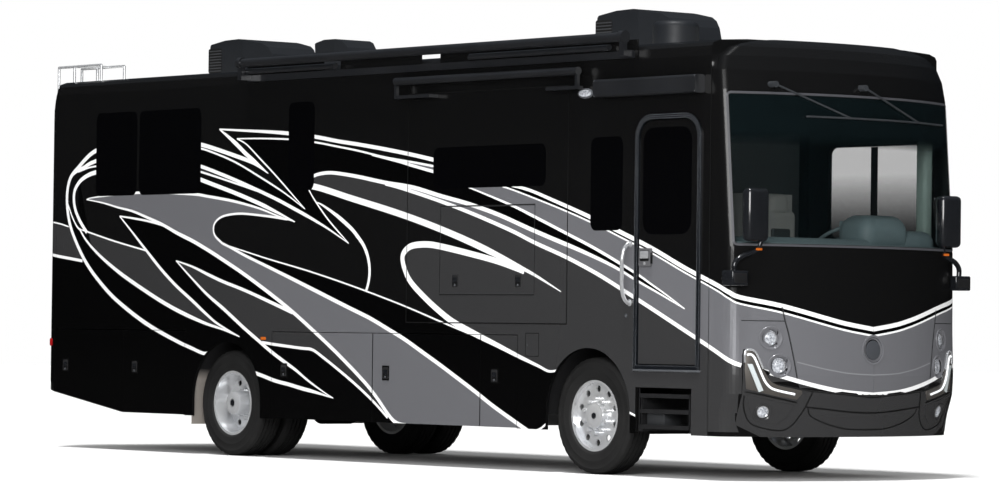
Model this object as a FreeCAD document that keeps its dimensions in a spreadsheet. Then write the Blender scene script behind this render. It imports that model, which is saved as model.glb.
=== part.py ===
import FreeCAD, Part
import math
import os
import Sketcher
from FreeCAD import Vector


# The motorhome's sizes in millimetres. X runs forward, Y to the left and Z up.
# Places along the coach are measured forward from the front axle, for the layout wheelbase,
# and heights from the road.
SIZES = {
    # whole coach
    "body_width": 2565,
    "wheelbase": 5180,
    "layout_wheelbase": 5180,
    "front_overhang": 2100,
    "rear_overhang": 3050,
    "ladder_reach": 105,
    # heights
    "skirt_bottom": 360,
    "rear_skirt_rise": 175,
    "bay_top": 1160,
    "belt_height": 1215,
    "wall_top": 3447,
    "roof_crown": 3612,
    # shells and gaps
    "wall_thickness": 45,
    "skirt_thickness": 30,
    "glass_thickness": 8,
    "cap_thickness": 36,
    "panel_gap": 6,
    "seat_gap": 0.3,
    "overrun": 20,
    # caps
    "front_seam": 1500,
    "rear_seam": 170,
    "nose_plan_radius": 2570,
    "tail_plan_radius": 16000,
    "nose_corner_radius": 140,
    "brow_corner_radius": 90,
    "tail_corner_radius": 80,
    # side windows, measured forward from the front axle
    "window_radius": 70,
    "window_a_rear": -7385,
    "window_a_front": -6690,
    "window_b_rear": -6650,
    "window_b_front": -5630,
    "window_c_rear": -4250,
    "window_c_front": -3855,
    "window_d_rear": 10,
    "window_d_front": 417,
    "window_low": 2446,
    "window_high": 3250,
    "window_d_low": 2037,
    "window_d_high": 2818,
    "driver_window_rear": 232,
    "driver_window_front": 1420,
    "lounge_window_rear": -2115,
    "lounge_window_front": -580,
    "lounge_window_low": 2425,
    "lounge_window_high": 2785,
    # entry door
    "door_rear": 583,
    "door_front": 1400,
    "door_low": 880,
    "door_high": 2991,
    "door_radius": 200,
    "door_frame_width": 45,
    "door_frame_proud": 14,
    "door_leaf_thickness": 45,
    "door_stop": 16,
    "door_stop_thickness": 8,
    "door_window_rear": 674,
    "door_window_front": 1275,
    "door_window_low": 1998,
    "door_window_high": 2878,
    "door_window_radius": 120,
    "handle_rear": 655,
    "handle_front": 805,
    "handle_low": 1758,
    "handle_high": 1848,
    "handle_depth": 22,
    # slide-out room
    "slide_rear": -2480,
    "slide_front": -280,
    "slide_low": 1250,
    "slide_high": 3270,
    "slide_depth": 700,
    "slide_wall": 32,
    "slide_radius": 5,
    "slide_rail_inset": 300,
    "slide_rail_width": 80,
    # floor and step well
    "deck_top": 1250,
    "deck_thickness": 60,
    "deck_front": 1700,
    "well_rear": 618,
    "well_front": 1330,
    "well_depth": 640,
    "well_plate": 14,
    "lower_tread": 905,
    "upper_tread": 1078,
    "tread_depth": 300,
    "step_opening_top": 740,
    "step_opening_rear": 610,
    "step_opening_front": 1300,
    "step_low": 400,
    "step_high": 690,
    "step_rear": 660,
    "step_front": 1262,
    "step_reach": 420,
    "step_tread": 34,
    "step_runner": 22,
    # luggage bays
    "bay_depth": 730,
    "bay_plate": 12,
    "bay_floor": 385,
    "bay_2_rear": -6870,
    "bay_2_front": -5846,
    "bay_3_rear": -4470,
    "bay_4_rear": -2950,
    "bay_5_rear": -1425,
    "bay_5_front": -925,
    "latch_width": 95,
    "latch_height": 130,
    "latch_depth": 8,
    "latch_inset": 150,
    "latch_level": 805,
    # wheels and arches
    "tyre_radius": 490,
    "tyre_width": 255,
    "tyre_face": 1220,
    "rim_radius": 286,
    "rim_flange_radius": 299,
    "rim_width": 220,
    "rim_thickness": 14,
    "rim_wall": 10,
    "hub_radius": 108,
    "hub_length": 120,
    "hand_hole_radius": 27,
    "hand_hole_circle": 226,
    "stud_circle": 143,
    "nut_radius": 17,
    "nut_length": 48,
    "twin_spacing": 315,
    "arch_radius": 542,
    "arch_level": 515,
    "liner_radius": 582,
    "liner_plate": 8,
    "liner_depth": 650,
    # running gear
    "rail_spacing": 864,
    "rail_height": 250,
    "rail_width": 75,
    "rail_plate": 9,
    "rail_bottom": 700,
    "rail_rear": -7950,
    "rail_front": 1880,
    "cross_height": 120,
    "cross_width": 90,
    "kingpin_offset": 930,
    "kingpin_radius": 30,
    "kingpin_height": 200,
    "axle_beam_height": 110,
    "axle_beam_width": 90,
    "axle_web": 26,
    "axle_flange": 28,
    "knuckle_radius": 62,
    "spindle_radius": 45,
    "axle_tube_radius": 72,
    "differential_radius": 200,
    "differential_length": 330,
    "spring_radius": 120,
    "spring_offset": 560,
    "flap_bottom": 280,
    # engine
    "engine_rear": -7700,
    "engine_length": 1250,
    "engine_width": 640,
    "engine_low": 430,
    "engine_high": 1120,
    "engine_foot": 110,
    "engine_foot_height": 40,
    # tow receiver
    "receiver_bore": 51,
    "receiver_wall": 6,
    "receiver_length": 300,
    "receiver_level": 540,
    "receiver_pin_radius": 8,
    "receiver_pin_inset": 60,
    # front face
    "screen_low": 1905,
    "screen_high": 3150,
    "screen_half": 1250,
    "screen_thickness": 10,
    "bumper_half": 1185,
    "bumper_low": 352,
    "bumper_outer_low": 455,
    "bumper_outer_high": 1066,
    "bumper_shoulder_half": 965,
    "bumper_shoulder_high": 800,
    "bumper_middle_half": 640,
    "bumper_middle_high": 742,
    "bumper_centre_high": 692,
    "lamp_radius": 62,
    "lamp_recess_radius": 92,
    "lamp_recess_depth": 26,
    "lamp_depth": 70,
    "upper_lamp_side": 970,
    "upper_lamp_level": 1160,
    "lower_lamp_side": 900,
    "lower_lamp_level": 938,
    "fog_lamp_side": 1015,
    "fog_lamp_level": 563,
    "fog_lamp_radius": 45,
    "badge_radius": 100,
    "badge_level": 1072,
    "badge_depth": 12,
    # cab
    "dash_top": 1935,
    "dash_height": 330,
    "dash_rear": 1330,
    "dash_clearance": 60,
    "binnacle_height": 210,
    "binnacle_width": 560,
    "binnacle_length": 330,
    "driver_side": 610,
    "wheel_rim_radius": 225,
    "wheel_rim_tube": 16,
    "steering_lean": 62,
    "steering_place": 1060,
    "steering_level": 2010,
    "column_radius": 32,
    "column_length": 640,
    "seat_place": 420,
    "seat_width": 560,
    "seat_length": 540,
    "seat_cushion": 150,
    "seat_level": 1640,
    "seat_back_height": 760,
    "seat_back_depth": 150,
    "pedestal_width": 320,
    # mirrors
    "mirror_base_place": 1810,
    "mirror_base_low": 1576,
    "mirror_base_high": 1700,
    "mirror_base_reach": 75,
    "mirror_base_length": 130,
    "mirror_base_depth": 400,
    "mirror_head_place": 1930,
    "mirror_head_side": 1115,
    "mirror_head_low": 1935,
    "mirror_head_high": 2370,
    "mirror_head_width": 230,
    "mirror_head_depth": 110,
    "mirror_arm_radius": 20,
    # wipers
    "wiper_radius": 8,
    "wiper_boss_radius": 26,
    "wiper_level": 3215,
    "wiper_right_side": -900,
    "wiper_left_side": -50,
    "blade_level": 2962,
    "blade_length": 860,
    "blade_shift": 700,
    "wiper_stand_off": 62,
    # roof
    "roof_thickness": 50,
    "unit_length": 1010,
    "unit_width": 700,
    "unit_top": 3978,
    "rear_unit_place": -6370,
    "front_unit_place": -570,
    "vent_place": -5050,
    "vent_length": 560,
    "vent_width": 420,
    "vent_top": 3925,
    "dome_place": 400,
    "dome_side": -700,
    "dome_radius": 195,
    "dome_top": 3805,
    "dome_rounding": 55,
    # awnings
    "awning_rear": -4880,
    "awning_front": 560,
    "awning_level": 3632,
    "awning_radius": 40,
    "awning_reach": 112,
    "awning_cap_radius": 52,
    "awning_cap_width": 60,
    "awning_arm_depth": 38,
    "awning_arm_height": 52,
    "awning_arm_level": 3500,
    "awning_plate_depth": 22,
    "awning_plate_low": 3462,
    "awning_plate_high": 3522,
    "door_awning_rear": 151,
    "door_awning_front": 1420,
    "door_awning_low": 3142,
    "door_awning_high": 3293,
    "door_awning_depth": 110,
    "topper_rear": -2550,
    "topper_front": -60,
    "topper_level": 3375,
    "topper_radius": 34,
    "topper_reach": 92,
    "topper_mount_rear": -2230,
    "topper_mount_front": -470,
    "topper_mount_length": 170,
    "topper_stand_off": 40,
    "topper_foot_low": 3222,
    "topper_foot_high": 3250,
    "topper_arm_width": 30,
    # porch lamp and grab handle
    "grab_place": 510,
    "grab_low": 1424,
    "grab_high": 1934,
    "grab_radius": 16,
    "grab_reach": 78,
    # ladder
    "ladder_outer": 1110,
    "ladder_inner": 840,
    "ladder_tube": 13,
    "ladder_low": 1240,
    "ladder_high": 3740,
    "ladder_step": 300,
    "ladder_forward": 640,
    "ladder_bend": 90,
    # rear face
    "engine_door_half": 700,
    "engine_door_low": 640,
    "engine_door_high": 1310,
    "engine_door_radius": 40,
    "rear_lamp_side": 1110,
    "rear_lamp_width": 130,
    "rear_lamp_low": 1380,
    "rear_lamp_high": 1760,
    "rear_lamp_proud": 14,
    "high_lamp_width": 420,
    "high_lamp_low": 3330,
    "high_lamp_high": 3370,
}

# The nose's profile from the bottom edge up: height, how far the nose lies behind its
# furthest point, half width at the seam and half width at the corner, all as shares of
# the roof's crown height, the front overhang and half the body's width.
NOSE_SHARES = (
    (0.0997, 0.0476, 1.0, 1.0),
    (0.1467, 0.0333, 1.0, 1.0),
    (0.1938, 0.0048, 1.0, 1.0),
    (0.2353, 0.0, 1.0, 1.0),
    (0.3488, 0.0071, 1.0, 1.0),
    (0.5224, 0.0143, 1.0, 1.0),
    (0.8776, 0.0643, 1.0, 1.0),
    (0.9220, 0.0810, 1.0, 0.990),
    (0.9543, 0.1048, 1.0, 0.955),
    (0.9760, 0.1310, 1.0, 0.866),
    (0.9840, 0.1500, 0.985, 0.790),
    (0.9905, 0.1700, 0.930, 0.690),
    (0.9955, 0.1905, 0.700, 0.560),
)
TAIL_SHARES = (
    (0.0997, 0.0, 1.0, 1.0),
    (0.9110, 0.0, 1.0, 1.0),
    (0.9543, 0.0033, 1.0, 0.990),
    (0.9760, 0.0066, 1.0, 0.975),
    (0.9840, 0.0082, 0.985, 0.955),
    (0.9905, 0.0098, 0.930, 0.900),
    (0.9955, 0.0147, 0.700, 0.680),
)
BROW_SHARE = 0.915
ROOF_SHARES = ((0.9543, 1.0), (0.9760, 1.0), (0.9840, 0.985), (0.9905, 0.930), (0.9955, 0.700))

# The tyre's half section: out from its middle, as shares of half the width, and up from
# the rim to the tread, as shares of the height between them.
TYRE_SHARES = (
    (0.78, 0.0),
    (0.78, 0.066),
    (0.90, 0.10),
    (1.0, 0.42),
    (0.99, 0.66),
    (0.90, 0.90),
    (0.80, 0.985),
    (0.40, 1.0),
)
UNIT_SIDE_SHARES = (
    (-0.50, 0.00),
    (0.50, 0.00),
    (0.487, 0.30),
    (0.450, 0.58),
    (0.395, 0.76),
    (0.320, 0.86),
    (0.020, 1.00),
    (-0.20, 0.985),
    (-0.445, 0.895),
    (-0.47, 0.85),
)
VENT_SIDE_SHARES = (
    (-0.43, 0.00),
    (0.50, 0.00),
    (0.455, 0.42),
    (0.360, 0.74),
    (0.240, 0.93),
    (0.100, 1.00),
    (-0.20, 1.00),
    (-0.50, 0.90),
)
UNIT_PLAN_SHARES = (
    (-0.50, -0.46),
    (-0.42, -0.50),
    (0.08, -0.50),
    (0.50, -0.36),
    (0.50, 0.36),
    (0.08, 0.50),
    (-0.42, 0.50),
    (-0.50, 0.46),
)
HAND_HOLE_COUNT = 10
STUD_COUNT = 10
CROSS_MEMBER_SHARES = (0.02, 0.22, 0.42, 0.58, 0.72, 0.90, 0.985)


class Size:
    """A length with the formula that ties it to the sheet."""

    def __init__(self, value, formula):
        self.value = float(value)
        self.formula = formula

    def __add__(self, other):
        other = sized(other)
        return Size(self.value + other.value, f"({self.formula} + {other.formula})")

    def __radd__(self, other):
        return sized(other) + self

    def __sub__(self, other):
        other = sized(other)
        return Size(self.value - other.value, f"({self.formula} - {other.formula})")

    def __rsub__(self, other):
        return sized(other) - self

    def __mul__(self, other):
        other = sized(other)
        return Size(self.value * other.value, f"({self.formula} * {other.formula})")

    def __rmul__(self, other):
        return sized(other) * self

    def __truediv__(self, other):
        other = sized(other)
        return Size(self.value / other.value, f"({self.formula} / {other.formula})")

    def __neg__(self):
        return Size(-self.value, f"(0 - {self.formula})")

    def root(self):
        return Size(math.sqrt(self.value), f"sqrt({self.formula})")


def sized(number):
    """A Size, whether it is one already or a plain number."""
    if isinstance(number, Size):
        return number
    return Size(number, f"{float(number):.6f}")


class Sheet:
    """The sizes by name, read back from the spreadsheet."""


doc = FreeCAD.newDocument("motorhome")
sheet = doc.addObject("Spreadsheet::Sheet", "sizes")
size = Sheet()
for row, (alias, number) in enumerate(SIZES.items(), start=1):
    sheet.set(f"A{row}", alias)
    sheet.set(f"B{row}", str(number))
    sheet.setAlias(f"B{row}", alias)
doc.recompute()
for alias in SIZES:
    setattr(size, alias, Size(getattr(sheet, alias), f"sizes.{alias}"))

nodes = []
counter = {}


def fresh(name):
    """A name that no object of the document has yet."""
    counter[name] = counter.get(name, 0) + 1
    return f"{name}_{counter[name]}"


def node(name, piece):
    """Give a finished piece the label that names its file."""
    piece.Label = name
    nodes.append(piece)
    return piece


def bind(piece, field, length):
    """Tie one field of an object to the sheet."""
    piece.setExpression(field, sized(length).formula)


def place(piece, x=0, y=0, z=0):
    """Tie an object's place to the sheet."""
    bind(piece, "Placement.Base.x", x)
    bind(piece, "Placement.Base.y", y)
    bind(piece, "Placement.Base.z", z)
    return piece


def block(x_low, x_high, y_low, y_high, z_low, z_high):
    """A box between two corners."""
    piece = doc.addObject("Part::Box", fresh("block"))
    bind(piece, "Length", x_high - x_low)
    bind(piece, "Width", y_high - y_low)
    bind(piece, "Height", z_high - z_low)
    return place(piece, x_low, y_low, z_low)


TURNS = {
    "x": FreeCAD.Rotation(Vector(0, 1, 0), 90),
    "y": FreeCAD.Rotation(Vector(1, 0, 0), -90),
    "z": FreeCAD.Rotation(),
}


def rod(axis, radius, length, x, y, z):
    """A cylinder that starts at a point and runs along an axis."""
    piece = doc.addObject("Part::Cylinder", fresh("rod"))
    bind(piece, "Radius", radius)
    bind(piece, "Height", length)
    piece.Placement = FreeCAD.Placement(Vector(), TURNS[axis])
    return place(piece, x, y, z)


def fuse(*pieces):
    piece = doc.addObject("Part::MultiFuse", fresh("fuse"))
    piece.Shapes = list(pieces)
    return piece


def cut(base, *tools):
    piece = doc.addObject("Part::Cut", fresh("cut"))
    piece.Base = base
    piece.Tool = tools[0] if len(tools) == 1 else fuse(*tools)
    return piece


def common(first, second):
    piece = doc.addObject("Part::Common", fresh("common"))
    piece.Base = first
    piece.Tool = second
    return piece


def together(*pieces):
    """Like pieces that share a node without touching."""
    piece = doc.addObject("Part::Compound", fresh("together"))
    piece.Links = list(pieces)
    return piece


def rounded(piece, radius, axis):
    """Round the edges of a block that run along an axis."""
    doc.recompute()
    fillet = doc.addObject("Part::Fillet", fresh("rounded"))
    fillet.Base = piece
    chosen = []
    for index, edge in enumerate(piece.Shape.Edges, start=1):
        along = edge.tangentAt(edge.FirstParameter)
        if abs(abs(along.dot(axis)) - 1) < 1e-6:
            chosen.append((index, radius.value, radius.value))
    fillet.Edges = chosen
    return fillet


PLANES = {"plan": ("XY_Plane", 1), "front": ("YZ_Plane", 1), "side": ("XZ_Plane", -1)}


def sketch_on(body, plane, level):
    """A sketch on a plane through a body's origin, shifted to a level."""
    role, sign = PLANES[plane]
    sketch = body.newObject("Sketcher::SketchObject", fresh("sketch"))
    support = next(item for item in body.Origin.OriginFeatures if item.Role == role)
    sketch.AttachmentSupport = [(support, "")]
    sketch.MapMode = "FlatFace"
    bind(sketch, "AttachmentOffset.Base.z", level if sign > 0 else -level)
    return sketch


def fix_point(sketch, edge, end, point):
    """Tie an end of an edge to its place."""
    for kind, length in zip(("DistanceX", "DistanceY"), point):
        constraint = Sketcher.Constraint(kind, -1, 1, edge, end, sized(length).value)
        index = sketch.addConstraint(constraint)
        bind(sketch, f"Constraints[{index}]", length)


def trace(sketch, corners, arcs):
    """Draw a closed outline. Edges named in arcs bend through a point at a radius."""
    first = sketch.GeometryCount
    count = len(corners)
    flat = [Vector(sized(a).value, sized(b).value, 0) for a, b in corners]
    ends = []
    for index in range(count):
        start, stop = flat[index], flat[(index + 1) % count]
        if index in arcs:
            middle, radius = arcs[index]
            through = Vector(sized(middle[0]).value, sized(middle[1]).value, 0)
            if (through - start).cross(stop - through).z > 0:
                edge = sketch.addGeometry(Part.Arc(start, through, stop))
                ends.append((1, 2))
            else:
                edge = sketch.addGeometry(Part.Arc(stop, through, start))
                ends.append((2, 1))
            index_of_radius = sketch.addConstraint(
                Sketcher.Constraint("Radius", edge, sized(radius).value)
            )
            bind(sketch, f"Constraints[{index_of_radius}]", radius)
        else:
            sketch.addGeometry(Part.LineSegment(start, stop))
            ends.append((1, 2))
    for index, corner in enumerate(corners):
        before = (index - 1) % count
        sketch.addConstraint(
            Sketcher.Constraint("Coincident", first + before, ends[before][1], first + index, ends[index][0])
        )
        fix_point(sketch, first + index, ends[index][0], corner)


def soften(points):
    """Turn the corners that have a radius into arcs. Their two edges are level and upright."""
    corners = []
    arcs = {}
    for index, point in enumerate(points):
        if len(point) == 2:
            corners.append(point)
            continue
        a, b, radius = point
        ends = []
        for other in (points[index - 1], points[(index + 1) % len(points)]):
            reach_a = sized(other[0]).value - sized(a).value
            reach_b = sized(other[1]).value - sized(b).value
            if abs(reach_a) > abs(reach_b):
                ends.append((a + math.copysign(1, reach_a) * radius, b))
            else:
                ends.append((a, b + math.copysign(1, reach_b) * radius))
        centre_a = ends[0][0] + ends[1][0] - a
        centre_b = ends[0][1] + ends[1][1] - b
        share = 1 - math.sqrt(0.5)
        middle = (a + (centre_a - a) * share, b + (centre_b - b) * share)
        arcs[len(corners)] = (middle, radius)
        corners.extend(ends)
    return corners, arcs


def slab(plane, outlines, low, high):
    """A flat piece cut to its outlines, between two levels."""
    body = doc.addObject("PartDesign::Body", fresh("slab"))
    sign = PLANES[plane][1]
    sketch = sketch_on(body, plane, low if sign > 0 else high)
    for outline in outlines:
        trace(sketch, *soften(outline))
    pad = body.newObject("PartDesign::Pad", fresh("pad"))
    pad.Profile = sketch
    bind(pad, "Length", high - low)
    body.Tip = pad
    return body


def oblong(a_low, a_high, b_low, b_high, radius):
    """The outline of a window: a rectangle with round corners."""
    return [(a_low, b_low, radius), (a_high, b_low, radius), (a_high, b_high, radius), (a_low, b_high, radius)]


def across(side, inner, outer):
    """Levels between two distances from the middle, on the left or the right."""
    return (inner, outer) if side > 0 else (-outer, -inner)


def turned(corners, x, y, z, side=1):
    """A piece turned about a level axis across the coach. Corners run across, then out."""
    body = doc.addObject("PartDesign::Body", fresh("turned"))
    sketch = sketch_on(body, "front", 0)
    trace(sketch, [(side * a, b) for a, b in corners], {})
    spin = body.newObject("PartDesign::Revolution", fresh("spin"))
    spin.Profile = sketch
    spin.ReferenceAxis = (sketch, ["H_Axis"])
    body.Tip = spin
    return place(body, x, y, z)


half_width = size.body_width / 2
axle_x = (size.wheelbase + size.rear_overhang + size.ladder_reach - size.front_overhang) / 2
rear_axle_x = axle_x - size.wheelbase
nose_x = axle_x + size.front_overhang
tail_x = rear_axle_x - size.rear_overhang
front_seam_x = axle_x + size.front_seam
rear_seam_x = tail_x + size.rear_seam
wall_inner = half_width - size.wall_thickness
skirt_inner = half_width - size.skirt_thickness
axle_z = size.tyre_radius
SIDES = (("right", -1), ("left", 1))


def at(place):
    """The X of a place along the coach.

    With another wheelbase a place ahead of the front axle keeps its distance to it, one
    between the axles keeps its share, and one behind keeps its distance to the rear axle.
    """
    if place.value > 0:
        return axle_x + place
    if place.value > -size.layout_wheelbase.value:
        return axle_x + place * size.wheelbase / size.layout_wheelbase
    return rear_axle_x + place + size.layout_wheelbase


# Front and rear caps: moulded shells that close the ends of the body.
def cap_section(sketch, seam, nose, seam_half, half, plan_radius, corner, way):
    """One level cut through a cap: a wide arc across its face and a small arc at each corner."""
    inner_reach = plan_radius - corner
    side_reach = half - corner
    run = (inner_reach * inner_reach - side_reach * side_reach).root()
    corner_x = nose - way * (plan_radius - run)
    share = plan_radius / inner_reach
    face_x = nose - way * (plan_radius - run * share)
    face_y = side_reach * share
    bend = math.sqrt(0.5)
    bulge_x = corner_x + way * corner * bend
    bulge_y = side_reach + corner * bend
    corners = [
        (seam, -seam_half),
        (corner_x, -half),
        (face_x, -face_y),
        (face_x, face_y),
        (corner_x, half),
        (seam, seam_half),
    ]
    arcs = {
        1: ((bulge_x, -bulge_y), corner),
        2: ((nose, 0), plan_radius),
        3: ((bulge_x, bulge_y), corner),
    }
    trace(sketch, corners, arcs)


def cap_solid(shares, seam, tip, length, plan_radius, corners, way, skin):
    """A cap's solid, smaller all round by a skin's thickness."""
    body = doc.addObject("PartDesign::Body", fresh("cap"))
    sketches = []
    for index, (height, setback, seam_half, half) in enumerate(shares):
        level = size.roof_crown * height
        if height > BROW_SHARE:
            level = level - skin
        sketch = sketch_on(body, "plan", level)
        nose = tip - way * (length * setback + skin)
        cap_section(
            sketch,
            seam,
            nose,
            half_width * seam_half - skin,
            half_width * half - skin,
            plan_radius - skin,
            corners[index] - skin,
            way,
        )
        sketches.append(sketch)
    loft = body.newObject("PartDesign::AdditiveLoft", fresh("loft"))
    loft.Profile = sketches[0]
    loft.Sections = sketches[1:]
    loft.Ruled = True
    body.Tip = loft
    return body


def nose_solid(skin):
    corners = [size.nose_corner_radius if share[0] < 0.5 else size.brow_corner_radius for share in NOSE_SHARES]
    return cap_solid(
        NOSE_SHARES, front_seam_x, nose_x, size.front_overhang, size.nose_plan_radius, corners, 1, skin
    )


def tail_solid(skin):
    corners = [size.tail_corner_radius for share in TAIL_SHARES]
    return cap_solid(
        TAIL_SHARES, rear_seam_x, tail_x, size.rear_overhang, size.tail_plan_radius, corners, -1, skin
    )


def nose_at(side_place, level):
    """How far forward the nose's face lies at a place beside the middle and a height."""
    shares = [(size.roof_crown * share[0], size.front_overhang * share[1]) for share in NOSE_SHARES]
    for (low, setback_low), (high, setback_high) in zip(shares, shares[1:]):
        if low.value <= level.value <= high.value:
            part = (level - low) / (high - low)
            setback = setback_low + (setback_high - setback_low) * part
            break
    radius = size.nose_plan_radius
    run = (radius * radius - side_place * side_place).root()
    return nose_x - setback - (radius - run)


nose_outer = nose_solid(sized(0))
nose_inner = nose_solid(size.cap_thickness)
nose_shell = cut(nose_outer, nose_inner)

# Bumper: the lower part of the nose, with an ear at each end for the lamps.
def bumper_outline(gap):
    """The bumper's outline from the front, drawn in by a gap all round."""
    right = [
        (size.bumper_half - gap, size.bumper_outer_low),
        (size.bumper_half - gap, size.bumper_outer_high - gap * 2),
        (size.bumper_half * 0.93 + gap, size.bumper_outer_high - size.panel_gap * 5 - gap),
        (size.bumper_shoulder_half + gap, size.bumper_shoulder_high - gap),
        (size.bumper_middle_half + gap, size.bumper_middle_high - gap),
    ]
    left = [(-a, b) for a, b in reversed(right)]
    foot = [(-size.bumper_shoulder_half, size.bumper_low), (size.bumper_shoulder_half, size.bumper_low)]
    return foot + right + [(0, size.bumper_centre_high - gap)] + left


def lamp_hole(side, side_place, level, radius, recess):
    """The bore and the dished recess for a round lamp in the nose."""
    face = nose_at(side_place, level)
    bore = rod("x", radius, size.lamp_depth * 2, face - size.lamp_depth, side * side_place, level)
    tools = [bore]
    if recess:
        dish = doc.addObject("Part::Cone", fresh("dish"))
        bind(dish, "Radius1", radius)
        bind(dish, "Radius2", size.lamp_recess_radius)
        bind(dish, "Height", size.lamp_recess_depth + size.overrun)
        dish.Placement = FreeCAD.Placement(Vector(), TURNS["x"])
        place(dish, face - size.lamp_recess_depth, side * side_place, level)
        tools.append(dish)
    return tools


def lamp(side, side_place, level, radius, proud):
    """A round lamp: a barrel with a domed lens."""
    face = nose_at(side_place, level)
    start = face - size.lamp_depth
    fit = radius - size.seat_gap
    barrel = rod("x", fit, size.lamp_depth * 2 - proud, start, side * side_place, level)
    return common(barrel, nose_solid(proud))


LAMPS = (
    (size.upper_lamp_side, size.upper_lamp_level, size.lamp_radius, True),
    (size.lower_lamp_side, size.lower_lamp_level, size.lamp_radius, True),
)
cap_tools = [
    slab("front", [bumper_outline(sized(0))], axle_x, nose_x + size.overrun),
    slab(
        "front",
        [oblong(-size.screen_half, size.screen_half, size.screen_low, size.screen_high, size.window_radius / 2)],
        axle_x,
        nose_x + size.overrun,
    ),
    rod(
        "x",
        size.badge_radius,
        size.cap_thickness,
        nose_at(sized(0), size.badge_level) - size.badge_depth,
        0,
        size.badge_level,
    ),
]
lamps = []
for name, side in SIDES:
    for side_place, level, radius, recess in LAMPS:
        cap_tools.extend(lamp_hole(side, side_place, level, radius, recess))
        lamps.append(lamp(side, side_place, level, radius, size.lamp_recess_depth / 2))
    lamps.append(lamp(side, size.fog_lamp_side, size.fog_lamp_level, size.fog_lamp_radius, sized(0)))
node("front_cap", cut(nose_shell, *cap_tools))
node("front_lamps", together(*lamps))

bumper_prism = slab("front", [bumper_outline(size.seat_gap)], axle_x, nose_x + size.overrun)
bumper_tools = []
for name, side in SIDES:
    bumper_tools.extend(lamp_hole(side, size.fog_lamp_side, size.fog_lamp_level, size.fog_lamp_radius, False))
node("front_bumper", cut(common(nose_shell, bumper_prism), *bumper_tools))

screen_prism = slab(
    "front",
    [
        oblong(
            -size.screen_half + size.seat_gap,
            size.screen_half - size.seat_gap,
            size.screen_low + size.seat_gap,
            size.screen_high - size.seat_gap,
            size.window_radius / 2,
        )
    ],
    axle_x,
    nose_x + size.overrun,
)
node("windscreen", common(cut(nose_outer, nose_solid(size.screen_thickness)), screen_prism))

# Rear cap with the opening for the engine door.
tail_shell = cut(tail_solid(sized(0)), tail_solid(size.cap_thickness))
door_hole = slab(
    "front",
    [
        oblong(
            -size.engine_door_half,
            size.engine_door_half,
            size.engine_door_low,
            size.engine_door_high,
            size.engine_door_radius,
        )
    ],
    tail_x - size.overrun,
    rear_seam_x,
)
tail_rise = slab(
    "side",
    [
        [
            (tail_x - size.overrun, 0),
            (rear_seam_x + size.overrun, 0),
            (rear_seam_x + size.overrun, size.skirt_bottom + size.rear_skirt_rise),
            (tail_x - size.overrun, size.skirt_bottom + size.rear_skirt_rise + size.panel_gap * 10),
        ]
    ],
    -size.body_width,
    size.body_width,
)
lamp_low = size.rear_lamp_low
rear_lamps = []
lamp_holes = []
for name, side in SIDES:
    low, high = across(
        side,
        size.rear_lamp_side - size.rear_lamp_width / 2,
        size.rear_lamp_side + size.rear_lamp_width / 2,
    )
    lamp_holes.append(block(tail_x - size.overrun, rear_seam_x, low, high, lamp_low, size.rear_lamp_high))
    rear_lamps.append(
        block(
            tail_x - size.rear_lamp_proud / 2,
            tail_x + size.cap_thickness * 1.5,
            low + size.seat_gap,
            high - size.seat_gap,
            lamp_low + size.seat_gap,
            size.rear_lamp_high - size.seat_gap,
        )
    )
half_high_lamp = size.high_lamp_width / 2
lamp_holes.append(
    block(
        tail_x - size.overrun,
        rear_seam_x,
        -half_high_lamp,
        half_high_lamp,
        size.high_lamp_low,
        size.high_lamp_high,
    )
)
rear_lamps.append(
    block(
        tail_x - size.rear_lamp_proud / 2,
        tail_x + size.cap_thickness,
        -half_high_lamp + size.seat_gap,
        half_high_lamp - size.seat_gap,
        size.high_lamp_low + size.seat_gap,
        size.high_lamp_high - size.seat_gap,
    )
)
lip_reach = size.door_stop + size.panel_gap
lip_form = slab(
    "front",
    [
        oblong(
            -size.engine_door_half - lip_reach,
            size.engine_door_half + lip_reach,
            size.engine_door_low - lip_reach,
            size.engine_door_high + lip_reach,
            size.engine_door_radius,
        ),
        oblong(
            -size.engine_door_half + lip_reach,
            size.engine_door_half - lip_reach,
            size.engine_door_low + lip_reach,
            size.engine_door_high - lip_reach,
            size.engine_door_radius,
        ),
    ],
    tail_x - size.overrun,
    rear_seam_x,
)
lip_face = size.cap_thickness + size.seat_gap
lip_skin = cut(tail_solid(lip_face), tail_solid(lip_face + size.door_stop_thickness))
lip_bridge = cut(tail_solid(size.cap_thickness), tail_solid(lip_face))
bridge_form = cut(lip_form, door_hole)
node(
    "rear_cap",
    fuse(
        cut(tail_shell, door_hole, tail_rise, *lamp_holes),
        common(lip_skin, lip_form),
        common(lip_bridge, bridge_form),
    ),
)
node("rear_lamps", together(*rear_lamps))
node(
    "engine_door",
    common(
        cut(tail_solid(sized(0)), tail_solid(size.cap_thickness)),
        slab(
            "front",
            [
                oblong(
                    -size.engine_door_half + size.panel_gap,
                    size.engine_door_half - size.panel_gap,
                    size.engine_door_low + size.panel_gap * 1.5,
                    size.engine_door_high - size.panel_gap,
                    size.engine_door_radius,
                )
            ],
            tail_x - size.overrun,
            rear_seam_x - size.cap_thickness,
        ),
    ),
)

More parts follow.
